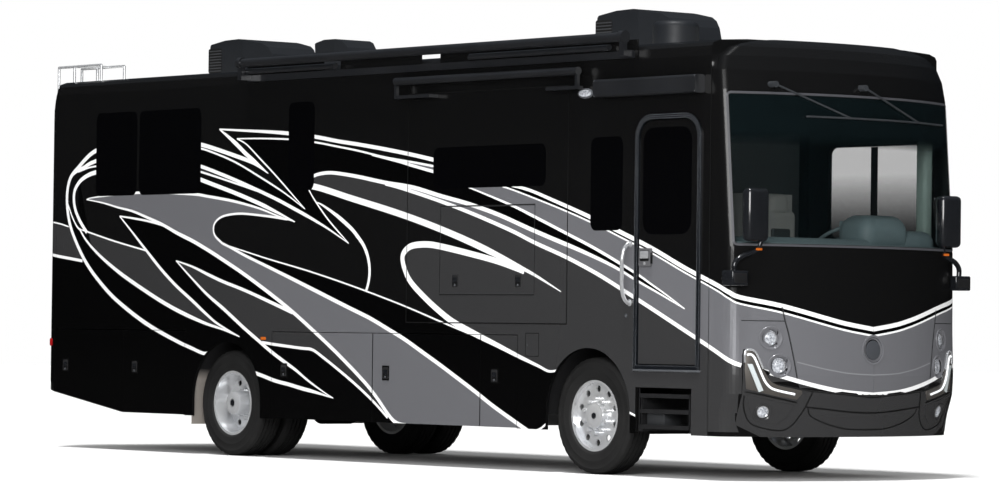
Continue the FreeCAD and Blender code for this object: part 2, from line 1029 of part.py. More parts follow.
# Side walls above the belt, with their windows cut, and the panes that fill them.
window_radius = size.window_radius
RIGHT_WINDOWS = (
    (size.window_a_rear, size.window_a_front, size.window_low, size.window_high),
    (size.window_b_rear, size.window_b_front, size.window_low, size.window_high),
    (size.window_c_rear, size.window_c_front, size.window_low, size.window_high),
    (size.window_d_rear, size.window_d_front, size.window_d_low, size.window_d_high),
)
LEFT_WINDOWS = (
    (size.window_a_rear, size.window_a_front, size.window_low, size.window_high),
    (size.window_b_rear, size.window_b_front, size.window_low, size.window_high),
    (size.window_c_rear, size.window_c_front, size.window_low, size.window_high),
    (size.lounge_window_rear, size.lounge_window_front, size.lounge_window_low, size.lounge_window_high),
    (size.driver_window_rear, size.driver_window_front, size.window_d_low, size.window_d_high),
)


def window_outline(window, gap):
    rear, front, low, high = window
    return oblong(at(rear) + gap, at(front) - gap, low + gap, high - gap, window_radius - gap)


slide_opening = oblong(
    at(size.slide_rear),
    at(size.slide_front),
    size.slide_low,
    size.slide_high,
    size.slide_radius,
)
right_wall = [
    (rear_seam_x, size.belt_height),
    (at(size.door_rear), size.belt_height),
    (at(size.door_rear), size.door_high, size.door_radius),
    (at(size.door_front), size.door_high, size.door_radius),
    (at(size.door_front), size.belt_height),
    (front_seam_x, size.belt_height),
    (front_seam_x, size.wall_top),
    (rear_seam_x, size.wall_top),
]
left_wall = [
    (rear_seam_x, size.belt_height),
    (front_seam_x, size.belt_height),
    (front_seam_x, size.wall_top),
    (rear_seam_x, size.wall_top),
]
panes = []
for name, side, outer, windows in (
    ("right", -1, [right_wall, slide_opening], RIGHT_WINDOWS),
    ("left", 1, [left_wall], LEFT_WINDOWS),
):
    low, high = across(side, wall_inner, half_width)
    holes = [window_outline(window, sized(0)) for window in windows]
    node(f"side_wall_{name}", slab("side", outer + holes, low, high))
    low, high = across(side, half_width - size.glass_thickness, half_width)
    for window in windows:
        panes.append(slab("side", [window_outline(window, size.seat_gap)], low, high))
node("side_windows", together(*panes))

# Roof: one skin that bends down over the wall tops.
def roof_outline(skin):
    points = [(half_width - skin, size.wall_top)]
    for height, half in ROOF_SHARES[1:]:
        points.append((half_width * half - skin, size.roof_crown * height - skin))
    mirrored = [(-a, b) for a, b in reversed(points)]
    return points + [(0, size.roof_crown - skin)] + mirrored


roof_section = roof_outline(sized(0)) + list(reversed(roof_outline(size.roof_thickness)))
node("roof", slab("front", [roof_section], rear_seam_x, front_seam_x))

# Skirts below the belt, open for the wheels, the luggage bays, the door and the step.
RIGHT_BAYS = (
    (rear_seam_x, at(size.bay_2_rear)),
    (at(size.bay_2_rear), at(size.bay_2_front)),
    (at(size.bay_3_rear), at(size.bay_4_rear)),
    (at(size.bay_4_rear), at(size.bay_5_rear)),
    (at(size.bay_5_rear), at(size.bay_5_front)),
)
LEFT_BAYS = (
    (rear_seam_x, at(size.bay_2_front)),
    (at(size.bay_3_rear), at(size.bay_4_rear)),
    (at(size.bay_4_rear), at(size.bay_5_front)),
)
rear_rise_end = at(size.bay_2_rear)
rear_rise_length = rear_rise_end - rear_seam_x
skirt_outline = [
    (rear_seam_x, size.skirt_bottom + size.rear_skirt_rise),
    (rear_rise_end, size.skirt_bottom),
    (front_seam_x, size.skirt_bottom),
    (front_seam_x, size.belt_height),
    (rear_seam_x, size.belt_height),
]


def skirt_edge(x):
    """The height of the skirt's bottom edge at a place along the coach."""
    if x.value >= rear_rise_end.value:
        return size.skirt_bottom
    part = (rear_rise_end - x) / rear_rise_length
    return size.skirt_bottom + size.rear_skirt_rise * part


def bay_outline(rear, front, gap):
    """A luggage door's outline: level on top, along the skirt's edge below."""
    points = [(rear + gap, skirt_edge(rear) + gap)]
    if rear.value < rear_rise_end.value:
        points.append((rear_rise_end, size.skirt_bottom + gap))
    if front.value > rear_rise_end.value:
        points.append((front - gap, size.skirt_bottom + gap))
    else:
        points[-1] = (rear_rise_end - gap, size.skirt_bottom + gap)
    points.append((front - gap, size.bay_top - gap))
    points.append((rear + gap, size.bay_top - gap))
    return points


def bay_hole(rear, front, low, high):
    """The hole in the skirt that a luggage door closes."""
    return block(rear, front, low - size.overrun, high + size.overrun, 0, size.bay_top)


for name, side, bays in (("right", -1, RIGHT_BAYS), ("left", 1, LEFT_BAYS)):
    low, high = across(side, skirt_inner, half_width)
    start = low - size.overrun
    through = high - low + size.overrun * 2
    tools = [
        rod("y", size.arch_radius, through, axle_x, start, size.arch_level),
        rod("y", size.arch_radius, through, rear_axle_x, start, size.arch_level),
    ]
    tools.append(
        block(axle_x - size.arch_radius, axle_x + size.arch_radius, start, high + size.overrun, 0, size.arch_level)
    )
    tools.append(
        block(
            rear_axle_x - size.arch_radius,
            rear_axle_x + size.arch_radius,
            start,
            high + size.overrun,
            0,
            size.arch_level,
        )
    )
    tools.extend(bay_hole(rear, front, low, high) for rear, front in bays)
    if side < 0:
        tools.append(
            block(
                at(size.door_rear),
                at(size.door_front),
                start,
                high + size.overrun,
                size.door_low,
                size.belt_height + size.overrun,
            )
        )
        tools.append(
            block(
                at(size.step_opening_rear),
                at(size.step_opening_front),
                start,
                high + size.overrun,
                0,
                size.step_opening_top,
            )
        )
    node(f"skirt_{name}", cut(slab("side", [skirt_outline], low, high), *tools))
    for number, (rear, front) in enumerate(bays, start=1):
        leaf = slab("side", [bay_outline(rear, front, size.panel_gap)], low, high)
        latch_x = rear + size.latch_inset + size.latch_width / 2
        latch_low, latch_high = across(side, half_width, half_width + size.latch_depth)
        latch = block(
            latch_x - size.latch_width / 2,
            latch_x + size.latch_width / 2,
            latch_low,
            latch_high,
            size.latch_level - size.latch_height / 2,
            size.latch_level + size.latch_height / 2,
        )
        node(f"bay_door_{name}_{number}", fuse(leaf, latch))

# Luggage bays: folded sheet boxes that hang from the floor behind each door.
boxes = []
for name, side, bays in (("right", -1, RIGHT_BAYS), ("left", 1, LEFT_BAYS)):
    inner = skirt_inner - size.bay_depth
    door_face = skirt_inner - size.seat_gap
    for rear, front in bays:
        floor = size.bay_floor
        if rear.value < rear_rise_end.value:
            floor = size.bay_floor + size.rear_skirt_rise
        low, high = across(side, inner, door_face)
        shell = block(
            rear + size.panel_gap,
            front - size.panel_gap,
            low,
            high,
            floor,
            size.deck_top - size.deck_thickness,
        )
        low, high = across(side, inner + size.bay_plate, door_face + size.overrun)
        hollow = block(
            rear + size.panel_gap + size.bay_plate,
            front - size.panel_gap - size.bay_plate,
            low,
            high,
            floor + size.bay_plate,
            size.bay_top,
        )
        boxes.append(cut(shell, hollow))
node("luggage_bays", together(*boxes))

# Floor deck, with the step well cut out at the right front.
deck_low = size.deck_top - size.deck_thickness
well_left = -wall_inner + size.well_depth
sill = -wall_inner + size.panel_gap * 2
deck_outline = [
    (rear_seam_x, -wall_inner),
    (at(size.door_rear) - size.panel_gap, -wall_inner),
    (at(size.door_rear) - size.panel_gap, sill),
    (at(size.well_rear), sill),
    (at(size.well_rear), well_left),
    (at(size.well_front), well_left),
    (at(size.well_front), sill),
    (at(size.door_front) + size.panel_gap, sill),
    (at(size.door_front) + size.panel_gap, -wall_inner),
    (front_seam_x, -wall_inner),
    (at(size.deck_front), -wall_inner + size.nose_corner_radius),
    (at(size.deck_front), wall_inner - size.nose_corner_radius),
    (front_seam_x, wall_inner),
    (rear_seam_x, wall_inner),
]
slide_rails = []
for x in (at(size.slide_rear) + size.slide_rail_inset, at(size.slide_front) - size.slide_rail_inset):
    slide_rails.append(
        block(
            x - size.slide_rail_width / 2,
            x + size.slide_rail_width / 2,
            -wall_inner + size.panel_gap,
            -half_width + size.slide_depth - size.panel_gap,
            size.deck_top,
            size.deck_top + size.panel_gap - size.seat_gap,
        )
    )
node("floor_deck", fuse(slab("plan", [deck_outline], deck_low, size.deck_top), *slide_rails))

# Step well: two treads inside the door and the side plates of the well.
well_x_low = at(size.well_rear)
well_x_high = at(size.well_front)
plate = size.well_plate
lower = block(well_x_low, well_x_high, -wall_inner, well_left, size.lower_tread - plate, size.lower_tread)
riser = block(
    well_x_low,
    well_x_high,
    -wall_inner + size.tread_depth,
    -wall_inner + size.tread_depth + plate,
    size.lower_tread,
    size.upper_tread,
)
upper = block(
    well_x_low,
    well_x_high,
    -wall_inner + size.tread_depth,
    well_left,
    size.upper_tread - plate,
    size.upper_tread,
)
back = block(well_x_low, well_x_high, well_left - plate, well_left, size.upper_tread, size.deck_top)
cheek_low = size.step_low - size.seat_gap - size.step_runner
rear_cheek = block(well_x_low, well_x_low + plate, -skirt_inner, well_left, cheek_low, size.deck_top)
front_cheek = block(well_x_high - plate, well_x_high, -skirt_inner, well_left, cheek_low, size.deck_top)
runners = []
for x_low, x_high in (
    (well_x_low, at(size.step_rear) + plate),
    (at(size.step_front) - plate, well_x_high),
):
    runners.append(
        block(
            x_low,
            x_high,
            -skirt_inner,
            well_left,
            size.step_low - size.seat_gap - size.step_runner,
            size.step_low - size.seat_gap,
        )
    )
step_roof = block(
    well_x_low,
    well_x_high,
    -skirt_inner,
    well_left,
    size.step_opening_top,
    size.step_opening_top + plate,
)
door_room = block(
    well_x_low - size.overrun,
    well_x_high + size.overrun,
    -half_width,
    sill,
    size.door_low - size.panel_gap,
    size.deck_top + size.overrun,
)
well = fuse(lower, riser, upper, back, rear_cheek, front_cheek, step_roof, *runners)
node("step_well", cut(well, door_room))

# Entry step: three treads between two side plates, which run out from under the door.
step_face = -half_width + size.panel_gap
treads = []
step_pitch = (size.step_high - size.step_low - size.step_tread) / 2
for index in range(3):
    level = size.step_low + step_pitch * index
    treads.append(
        block(
            at(size.step_rear),
            at(size.step_front),
            step_face,
            step_face + size.step_reach,
            level,
            level + size.step_tread,
        )
    )
for x in (at(size.step_rear), at(size.step_front) - plate):
    treads.append(
        block(x, x + plate, step_face + plate, step_face + size.step_reach, size.step_low, size.step_high)
    )
node("entry_step", fuse(*treads))

# Entry door, its frame, its window and its handle.
seat = size.seat_gap
frame_outer = [
    (at(size.door_rear) + seat, size.door_low + seat),
    (at(size.door_front) - seat, size.door_low + seat),
    (at(size.door_front) - seat, size.door_high - seat, size.door_radius - seat),
    (at(size.door_rear) + seat, size.door_high - seat, size.door_radius - seat),
]
frame_width = size.door_frame_width
frame_inner = [
    (at(size.door_rear) + frame_width, size.door_low + frame_width),
    (at(size.door_front) - frame_width, size.door_low + frame_width),
    (at(size.door_front) - frame_width, size.door_high - frame_width, size.door_radius - frame_width),
    (at(size.door_rear) + frame_width, size.door_high - frame_width, size.door_radius - frame_width),
]
frame_face = half_width + size.door_frame_proud
low, high = across(-1, half_width - size.door_leaf_thickness, frame_face)
stop_reach = frame_width + size.door_stop
stop_inner = [
    (at(size.door_rear) + stop_reach, size.door_low + stop_reach),
    (at(size.door_front) - stop_reach, size.door_low + stop_reach),
    (at(size.door_front) - stop_reach, size.door_high - stop_reach, size.door_radius - stop_reach),
    (at(size.door_rear) + stop_reach, size.door_high - stop_reach, size.door_radius - stop_reach),
]
stop_face = half_width - size.door_leaf_thickness - size.seat_gap
stop_low, stop_high = across(-1, stop_face - size.door_stop_thickness, stop_face)
door_ring = slab("side", [frame_outer, frame_inner], low, stop_high)
node("door_frame", fuse(door_ring, slab("side", [frame_inner, stop_inner], stop_low, stop_high)))
leaf_gap = frame_width + size.panel_gap * 1.5
leaf_outline = [
    (at(size.door_rear) + leaf_gap, size.door_low + leaf_gap),
    (at(size.door_front) - leaf_gap, size.door_low + leaf_gap),
    (at(size.door_front) - leaf_gap, size.door_high - leaf_gap, size.door_radius - leaf_gap),
    (at(size.door_rear) + leaf_gap, size.door_high - leaf_gap, size.door_radius - leaf_gap),
]
door_window = (
    at(size.door_window_rear),
    at(size.door_window_front),
    size.door_window_low,
    size.door_window_high,
)


def door_glass(gap):
    rear, front, low, high = door_window
    return oblong(rear + gap, front - gap, low + gap, high - gap, size.door_window_radius - gap)


leaf_low, leaf_high = across(-1, half_width - size.door_leaf_thickness, half_width)
leaf = slab("side", [leaf_outline, door_glass(sized(0))], leaf_low, leaf_high)
handle = block(
    at(size.handle_rear),
    at(size.handle_front),
    -half_width - size.handle_depth,
    -half_width,
    size.handle_low,
    size.handle_high,
)
node("entry_door", fuse(leaf, handle))
low, high = across(-1, half_width - size.glass_thickness, half_width)
node("entry_door_window", slab("side", [door_glass(size.seat_gap)], low, high))

# Slide-out room: a fascia flush with the wall and an open box behind it.
gap = size.panel_gap
room_rear = at(size.slide_rear) + gap
room_front = at(size.slide_front) - gap
room_low = size.deck_top + gap
fascia_low = size.slide_low + gap
fascia_high = size.slide_high - gap
lounge = (size.lounge_window_rear, size.lounge_window_front, size.lounge_window_low, size.lounge_window_high)
fascia = slab(
    "side",
    [oblong(room_rear, room_front, fascia_low, fascia_high, size.slide_radius), window_outline(lounge, sized(0))],
    -half_width,
    -wall_inner,
)
room = block(
    room_rear,
    room_front,
    -wall_inner,
    -half_width + size.slide_depth,
    room_low,
    fascia_high,
)
room_hollow = block(
    room_rear + size.slide_wall,
    room_front - size.slide_wall,
    -wall_inner,
    -half_width + size.slide_depth + size.overrun,
    room_low + size.slide_wall,
    fascia_high - size.slide_wall,
)
node("slide_out", fuse(fascia, cut(room, room_hollow)))
node(
    "slide_out_window",
    slab("side", [window_outline(lounge, size.seat_gap)], -half_width, -half_width + size.glass_thickness),
)

# Awning over the slide-out: a roller on two feet that stand on the fascia.
topper_y = -half_width - size.topper_reach
parts = [
    rod(
        "x",
        size.topper_radius,
        at(size.topper_front) - at(size.topper_rear),
        at(size.topper_rear),
        topper_y,
        size.topper_level,
    )
]
arm = size.topper_arm_width
bar_face = -half_width - size.topper_stand_off
for mount_x, arm_x in (
    (at(size.topper_mount_rear), at(size.topper_rear)),
    (at(size.topper_mount_front), at(size.topper_front) - arm),
):
    parts.append(
        block(
            mount_x,
            mount_x + size.topper_mount_length,
            bar_face,
            -half_width - size.seat_gap,
            size.topper_foot_low,
            size.topper_foot_high,
        )
    )
    start = min(mount_x, arm_x, key=lambda item: item.value)
    stop = max(mount_x + size.topper_mount_length, arm_x + arm, key=lambda item: item.value)
    parts.append(
        block(start, stop, topper_y - arm / 2, bar_face, size.topper_foot_low, size.topper_foot_high)
    )
    parts.append(
        block(arm_x, arm_x + arm, topper_y - arm / 2, topper_y + arm / 2, size.topper_foot_low, size.topper_level)
    )
node("slide_topper", fuse(*parts))

# Main awning and door awning on the right side.
awning_y = -half_width - size.awning_reach
awning_length = at(size.awning_front) - at(size.awning_rear)
awning = [
    rod("x", size.awning_radius, awning_length, at(size.awning_rear), awning_y, size.awning_level),
    rod(
        "x",
        size.awning_cap_radius,
        size.awning_cap_width,
        at(size.awning_rear),
        awning_y,
        size.awning_level,
    ),
    rod(
        "x",
        size.awning_cap_radius,
        size.awning_cap_width,
        at(size.awning_front) - size.awning_cap_width,
        awning_y,
        size.awning_level,
    ),
]
arm_half = size.awning_arm_height / 2
for x in (at(size.awning_rear), at(size.awning_front) - size.awning_cap_width):
    awning.append(
        block(
            x,
            x + size.awning_cap_width,
            awning_y - size.awning_arm_depth / 2,
            awning_y + size.awning_arm_depth / 2,
            size.awning_arm_level - arm_half,
            size.awning_level,
        )
    )
    awning.append(
        block(
            x,
            x + size.awning_cap_width,
            awning_y,
            -half_width - size.awning_plate_depth,
            size.awning_arm_level - arm_half,
            size.awning_arm_level + arm_half,
        )
    )
awning.append(
    block(
        at(size.awning_rear),
        at(size.awning_front),
        -half_width - size.awning_plate_depth,
        -half_width - size.seat_gap,
        size.awning_plate_low,
        size.awning_plate_high,
    )
)
door_awning = rounded(
    block(
        at(size.door_awning_rear),
        at(size.door_awning_front),
        -half_width - size.door_awning_depth,
        -half_width - size.seat_gap,
        size.door_awning_low,
        size.door_awning_high,
    ),
    size.awning_cap_radius / 2,
    Vector(1, 0, 0),
)
node("awnings", together(fuse(*awning), door_awning))

# Grab handle beside the door: a bent tube on two feet.
grab_y = -half_width - size.grab_reach
grab = [
    rod("z", size.grab_radius, size.grab_high - size.grab_low, at(size.grab_place), grab_y, size.grab_low),
    rod(
        "y",
        size.grab_radius,
        size.grab_reach - size.seat_gap,
        at(size.grab_place),
        grab_y,
        size.grab_low + size.grab_radius,
    ),
    rod(
        "y",
        size.grab_radius,
        size.grab_reach - size.seat_gap,
        at(size.grab_place),
        grab_y,
        size.grab_high - size.grab_radius,
    ),
]
node("grab_handle", fuse(*grab))

# Roof units: two air conditioners, a vent and an aerial dome, standing on the roof.
def roof_level(side_place):
    """The roof's height at a place beside the middle."""
    shape = roof_outline(sized(0))
    right_half = shape[: len(ROOF_SHARES) + 1]
    for (wide, low), (narrow, high) in zip(right_half, right_half[1:]):
        if sized(narrow).value <= side_place.value <= wide.value:
            return low + (high - low) * (wide - side_place) / (wide - narrow)
    return size.roof_crown


def roof_box(place_x, length, width, top, side_shares):
    """A shroud that narrows to its front, cut underneath to the roof's slope."""
    low = roof_level(width / 2)
    side_outline = [
        (at(place_x) + length * along, low + (top - low) * height) for along, height in side_shares
    ]
    plan_outline = [(at(place_x) + length * along, width * beside) for along, beside in UNIT_PLAN_SHARES]
    solid = slab("side", [side_outline], -width / 2, width / 2)
    plan = slab("plan", [plan_outline], low - size.overrun, top + size.overrun)
    return cut(common(solid, plan), roof_form())


def roof_form():
    """The roof's own form, which what stands on it is cut to."""
    return slab("front", [roof_outline(-size.seat_gap)], rear_seam_x, front_seam_x)


def crowned(piece, radius):
    """Round the rim of a piece's flat top."""
    doc.recompute()
    fillet = doc.addObject("Part::Fillet", fresh("crowned"))
    fillet.Base = piece
    top = piece.Shape.BoundBox.ZMax
    fillet.Edges = [
        (index, radius.value, radius.value)
        for index, edge in enumerate(piece.Shape.Edges, start=1)
        if edge.BoundBox.ZMin > top - radius.value / 2
    ]
    return fillet


unit_shape = (size.unit_length, size.unit_width, size.unit_top, UNIT_SIDE_SHARES)
dome_low = roof_level(-size.dome_side + size.dome_radius)
dome = crowned(
    rod(
        "z",
        size.dome_radius,
        size.dome_top - dome_low,
        at(size.dome_place),
        size.dome_side,
        dome_low,
    ),
    size.dome_rounding,
)
node(
    "roof_units",
    together(
        roof_box(size.rear_unit_place, *unit_shape),
        roof_box(size.front_unit_place, *unit_shape),
        roof_box(size.vent_place, size.vent_length, size.vent_width, size.vent_top, VENT_SIDE_SHARES),
        cut(dome, roof_form()),
    ),
)

# Ladder: two tubes up the tail that bend over onto the roof, with rungs between.
ladder_x = tail_x - size.ladder_reach + size.ladder_tube
ladder = []


def tail_sag(side_place):
    """How far the tail's face curves forward at a place beside the middle."""
    radius = size.tail_plan_radius
    return radius - (radius * radius - side_place * side_place).root()


for offset in (size.ladder_outer, size.ladder_inner):
    ladder.append(
        rod(
            "z",
            size.ladder_tube,
            size.ladder_high - size.ladder_low,
            ladder_x,
            -offset,
            size.ladder_low,
        )
    )
    roof_reach = size.ladder_reach + size.ladder_forward
    ladder.append(rod("x", size.ladder_tube, roof_reach, ladder_x, -offset, size.ladder_high))
    foot = roof_level(offset)
    for x in (ladder_x + roof_reach, ladder_x + size.ladder_reach + size.rear_seam):
        ladder.append(
            rod("z", size.ladder_tube, size.ladder_high - foot - size.seat_gap, x, -offset, foot + size.seat_gap)
        )
    for level in (size.ladder_low + size.ladder_bend, size.ladder_high - size.ladder_bend * 5):
        ladder.append(
            rod(
                "x",
                size.ladder_tube * 0.8,
                size.ladder_reach - size.ladder_tube + tail_sag(offset),
                ladder_x,
                -offset,
                level,
            )
        )
rung_count = 8
rung_width = size.ladder_outer - size.ladder_inner
for index in range(rung_count):
    ladder.append(
        rod(
            "y",
            size.ladder_tube * 0.8,
            rung_width,
            ladder_x,
            -size.ladder_outer,
            size.ladder_low + size.ladder_bend * 0.5 + size.ladder_step * index,
        )
    )
for x in (ladder_x + size.ladder_reach + size.ladder_forward * 0.6, ladder_x + size.ladder_reach + size.rear_seam):
    ladder.append(rod("y", size.ladder_tube * 0.8, rung_width, x, -size.ladder_outer, size.ladder_high))
node("ladder", cut(fuse(*ladder), tail_solid(-size.seat_gap), roof_form()))

# Mirrors: a bracket on each corner, an arm and a head in front of the glass.
def strut(start, stop, radius):
    """A round bar between two points."""
    piece = doc.addObject("Part::Feature", fresh("strut"))
    base = Vector(*[sized(item).value for item in start])
    tip = Vector(*[sized(item).value for item in stop])
    piece.Shape = Part.makeCylinder(sized(radius).value, (tip - base).Length, base, tip - base)
    return piece


mirror_parts = []
mirror_reach = half_width + size.mirror_base_reach
for name, side in SIDES:
    base_y_low, base_y_high = across(side, mirror_reach - size.mirror_base_depth, mirror_reach)
    base_x = at(size.mirror_base_place)
    bracket = cut(
        block(
            base_x - size.mirror_base_length / 2,
            base_x + size.mirror_base_length / 2,
            base_y_low,
            base_y_high,
            size.mirror_base_low,
            size.mirror_base_high,
        ),
        nose_solid(-size.seat_gap),
    )
    knee = (base_x, side * (mirror_reach - size.mirror_arm_radius * 2))
    head_x = at(size.mirror_head_place)
    rise = size.mirror_head_low - size.mirror_base_high
    joints = [
        (knee[0], knee[1], size.mirror_base_high - size.mirror_arm_radius),
        (knee[0], knee[1], size.mirror_base_high + rise * 0.3),
        (head_x, side * size.mirror_head_side, size.mirror_head_low - rise * 0.15),
        (head_x, side * size.mirror_head_side, size.mirror_head_low + size.mirror_arm_radius),
    ]
    bars = [strut(first, second, size.mirror_arm_radius) for first, second in zip(joints, joints[1:])]
    for joint in joints[1:3]:
        ball = doc.addObject("Part::Sphere", fresh("ball"))
        bind(ball, "Radius", size.mirror_arm_radius)
        bars.append(place(ball, *joint))
    head = rounded(
        block(
            head_x - size.mirror_head_depth / 2,
            head_x + size.mirror_head_depth / 2,
            side * size.mirror_head_side - size.mirror_head_width / 2,
            side * size.mirror_head_side + size.mirror_head_width / 2,
            size.mirror_head_low,
            size.mirror_head_high,
        ),
        size.mirror_head_depth * 0.4,
        Vector(1, 0, 0),
    )
    mirror_parts.append(fuse(bracket, head, *bars))
node("mirrors", together(*mirror_parts))

# Wipers: a boss above the glass, an arm and a blade.
wiper_parts = []
for side_place, blade_shift in ((size.wiper_right_side, size.blade_shift), (size.wiper_left_side, size.blade_shift)):
    face = nose_at(side_place, size.wiper_level)
    boss = cut(
        rod(
            "x",
            size.wiper_boss_radius,
            size.wiper_stand_off + size.wiper_radius + size.overrun,
            face - size.overrun,
            side_place,
            size.wiper_level,
        ),
        nose_outer,
    )
    blade_middle = side_place + blade_shift
    blade_x = nose_at(blade_middle, size.blade_level) + size.wiper_stand_off / 2
    hub = (face + size.wiper_stand_off, side_place, size.wiper_level)
    arm_end = (blade_x, blade_middle, size.blade_level)
    arm_bar = strut(hub, arm_end, size.wiper_radius)
    half_blade = size.blade_length / 2
    ends = []
    for way in (-1, 1):
        end_y = blade_middle + half_blade * way
        end_x = nose_at(end_y, size.blade_level) + size.wiper_stand_off / 2
        ends.append((end_x, end_y, size.blade_level))
    blade_one = strut(ends[0], arm_end, size.wiper_radius)
    blade_two = strut(arm_end, ends[1], size.wiper_radius)
    knob = doc.addObject("Part::Sphere", fresh("ball"))
    bind(knob, "Radius", size.wiper_radius * 1.2)
    place(knob, *arm_end)
    wiper_parts.append(fuse(boss, arm_bar, blade_one, blade_two, knob))
node("wipers", together(*wiper_parts))

# Dashboard, steering wheel and the two cab seats.
dash_low = size.dash_top - size.dash_height
dash_outer = nose_solid(size.dash_clearance)
dash_box = block(at(size.dash_rear), nose_x, -wall_inner + gap, wall_inner - gap, dash_low, size.dash_top)
dash = common(dash_outer, dash_box)
half_binnacle = size.binnacle_width / 2
binnacle_outline = [
    (at(size.dash_rear), size.dash_top - size.binnacle_height / 2),
    (at(size.dash_rear) + size.binnacle_length, size.dash_top - size.binnacle_height / 2),
    (at(size.dash_rear) + size.binnacle_length, size.dash_top),
    (at(size.dash_rear) + size.binnacle_length / 3, size.dash_top + size.binnacle_height),
    (at(size.dash_rear), size.dash_top + size.binnacle_height),
]
binnacle = slab(
    "side",
    [binnacle_outline],
    size.driver_side - half_binnacle,
    size.driver_side + half_binnacle,
)
leg = block(
    at(size.dash_rear),
    at(size.dash_rear) + size.binnacle_length,
    size.driver_side - half_binnacle,
    size.driver_side + half_binnacle,
    size.deck_top,
    dash_low,
)
dashboard = node("dashboard", fuse(dash, binnacle, leg))

lean = FreeCAD.Rotation(Vector(0, 1, 0), -90 + SIZES["steering_lean"])
ring = doc.addObject("Part::Torus", fresh("ring"))
bind(ring, "Radius1", size.wheel_rim_radius)
bind(ring, "Radius2", size.wheel_rim_tube)
ring.Placement = FreeCAD.Placement(Vector(), lean)
place(ring, at(size.steering_place), size.driver_side, size.steering_level)
wheel_bars = [ring]
centre = Vector(at(size.steering_place).value, size.driver_side.value, size.steering_level.value)
for angle in (90, 210, 330):
    turn = math.radians(angle)
    reach = Vector(math.cos(turn), math.sin(turn), 0) * size.wheel_rim_radius.value
    end = centre + lean.multVec(reach)
    wheel_bars.append(strut((centre.x, centre.y, centre.z), (end.x, end.y, end.z), size.wheel_rim_tube))
column_end = centre + lean.multVec(Vector(0, 0, -1)) * size.column_length.value
wheel_bars.append(strut((centre.x, centre.y, centre.z), (column_end.x, column_end.y, column_end.z), size.column_radius))
node("steering_wheel", cut(fuse(*wheel_bars), dashboard))

seats = []
for name, side in SIDES:
    middle = side * size.driver_side
    left, right = middle + size.seat_width / 2, middle - size.seat_width / 2
    seat_x = at(size.seat_place)
    cushion = block(
        seat_x - size.seat_length / 2,
        seat_x + size.seat_length / 2,
        right,
        left,
        size.seat_level,
        size.seat_level + size.seat_cushion,
    )
    backrest = block(
        seat_x - size.seat_length / 2 - size.seat_back_depth,
        seat_x - size.seat_length / 2,
        right,
        left,
        size.seat_level,
        size.seat_level + size.seat_back_height,
    )
    pedestal = block(
        seat_x - size.pedestal_width / 2,
        seat_x + size.pedestal_width / 2,
        middle - size.pedestal_width / 2,
        middle + size.pedestal_width / 2,
        size.deck_top,
        size.seat_level,
    )
    seats.append(fuse(cushion, backrest, pedestal))
node("cab_seats", together(*seats))

# Chassis frame: two channel rails and cross members.
rail_top = size.rail_bottom + size.rail_height
rail_out = size.rail_spacing / 2
rail_in = rail_out - size.rail_width
frame_parts = []
for name, side in SIDES:
    channel = [
        (side * rail_in, size.rail_bottom),
        (side * rail_out, size.rail_bottom),
        (side * rail_out, rail_top),
        (side * rail_in, rail_top),
        (side * rail_in, rail_top - size.rail_plate),
        (side * (rail_out - size.rail_plate), rail_top - size.rail_plate),
        (side * (rail_out - size.rail_plate), size.rail_bottom + size.rail_plate),
        (side * rail_in, size.rail_bottom + size.rail_plate),
    ]
    frame_parts.append(slab("front", [channel], at(size.rail_rear), at(size.rail_front)))
rail_length = at(size.rail_front) - at(size.rail_rear)
web_out = rail_out - size.rail_plate
for share in CROSS_MEMBER_SHARES:
    x = at(size.rail_rear) + rail_length * share
    frame_parts.append(
        block(
            x - size.cross_width / 2,
            x + size.cross_width / 2,
            -web_out,
            web_out,
            rail_top - size.cross_height - size.rail_plate,
            rail_top - size.rail_plate,
        )
    )
    frame_parts.append(
        block(
            x - size.cross_width / 2,
            x + size.cross_width / 2,
            -skirt_inner + size.bay_depth,
            skirt_inner - size.bay_depth,
            rail_top,
            deck_low,
        )
    )
node("chassis_frame", fuse(*frame_parts))

# Tow receiver: a square socket with a hole for its pin, on a hanger under the rails.
receiver_half = size.receiver_bore / 2 + size.receiver_wall
receiver_x = tail_x + size.cap_thickness
receiver_z = size.receiver_level
receiver = cut(
    block(
        receiver_x,
        receiver_x + size.receiver_length,
        -receiver_half,
        receiver_half,
        receiver_z - receiver_half,
        receiver_z + receiver_half,
    ),
    block(
        receiver_x - size.overrun,
        receiver_x + size.receiver_length - size.receiver_wall,
        -size.receiver_bore / 2,
        size.receiver_bore / 2,
        receiver_z - size.receiver_bore / 2,
        receiver_z + size.receiver_bore / 2,
    ),
    rod(
        "y",
        size.receiver_pin_radius,
        receiver_half * 4,
        receiver_x + size.receiver_pin_inset,
        -receiver_half * 2,
        receiver_z,
    ),
)
hanger_x = receiver_x + size.receiver_length
hanger = block(
    hanger_x,
    hanger_x + size.cross_width,
    -web_out,
    web_out,
    receiver_z - receiver_half,
    size.rail_bottom - size.seat_gap,
)
node("tow_receiver", fuse(receiver, hanger))

# Engine: one plain block that stands on the rails by its feet.
engine_parts = [
    block(
        at(size.engine_rear),
        at(size.engine_rear) + size.engine_length,
        -size.engine_width / 2,
        size.engine_width / 2,
        size.engine_low,
        size.engine_high,
    )
]
foot_level = size.rail_bottom + size.rail_plate
for name, side in SIDES:
    low, high = across(side, size.engine_width / 2, web_out - size.seat_gap)
    for x in (at(size.engine_rear), at(size.engine_rear) + size.engine_length - size.engine_foot):
        engine_parts.append(
            block(x, x + size.engine_foot, low, high, foot_level, foot_level + size.engine_foot_height)
        )
node("engine", fuse(*engine_parts))

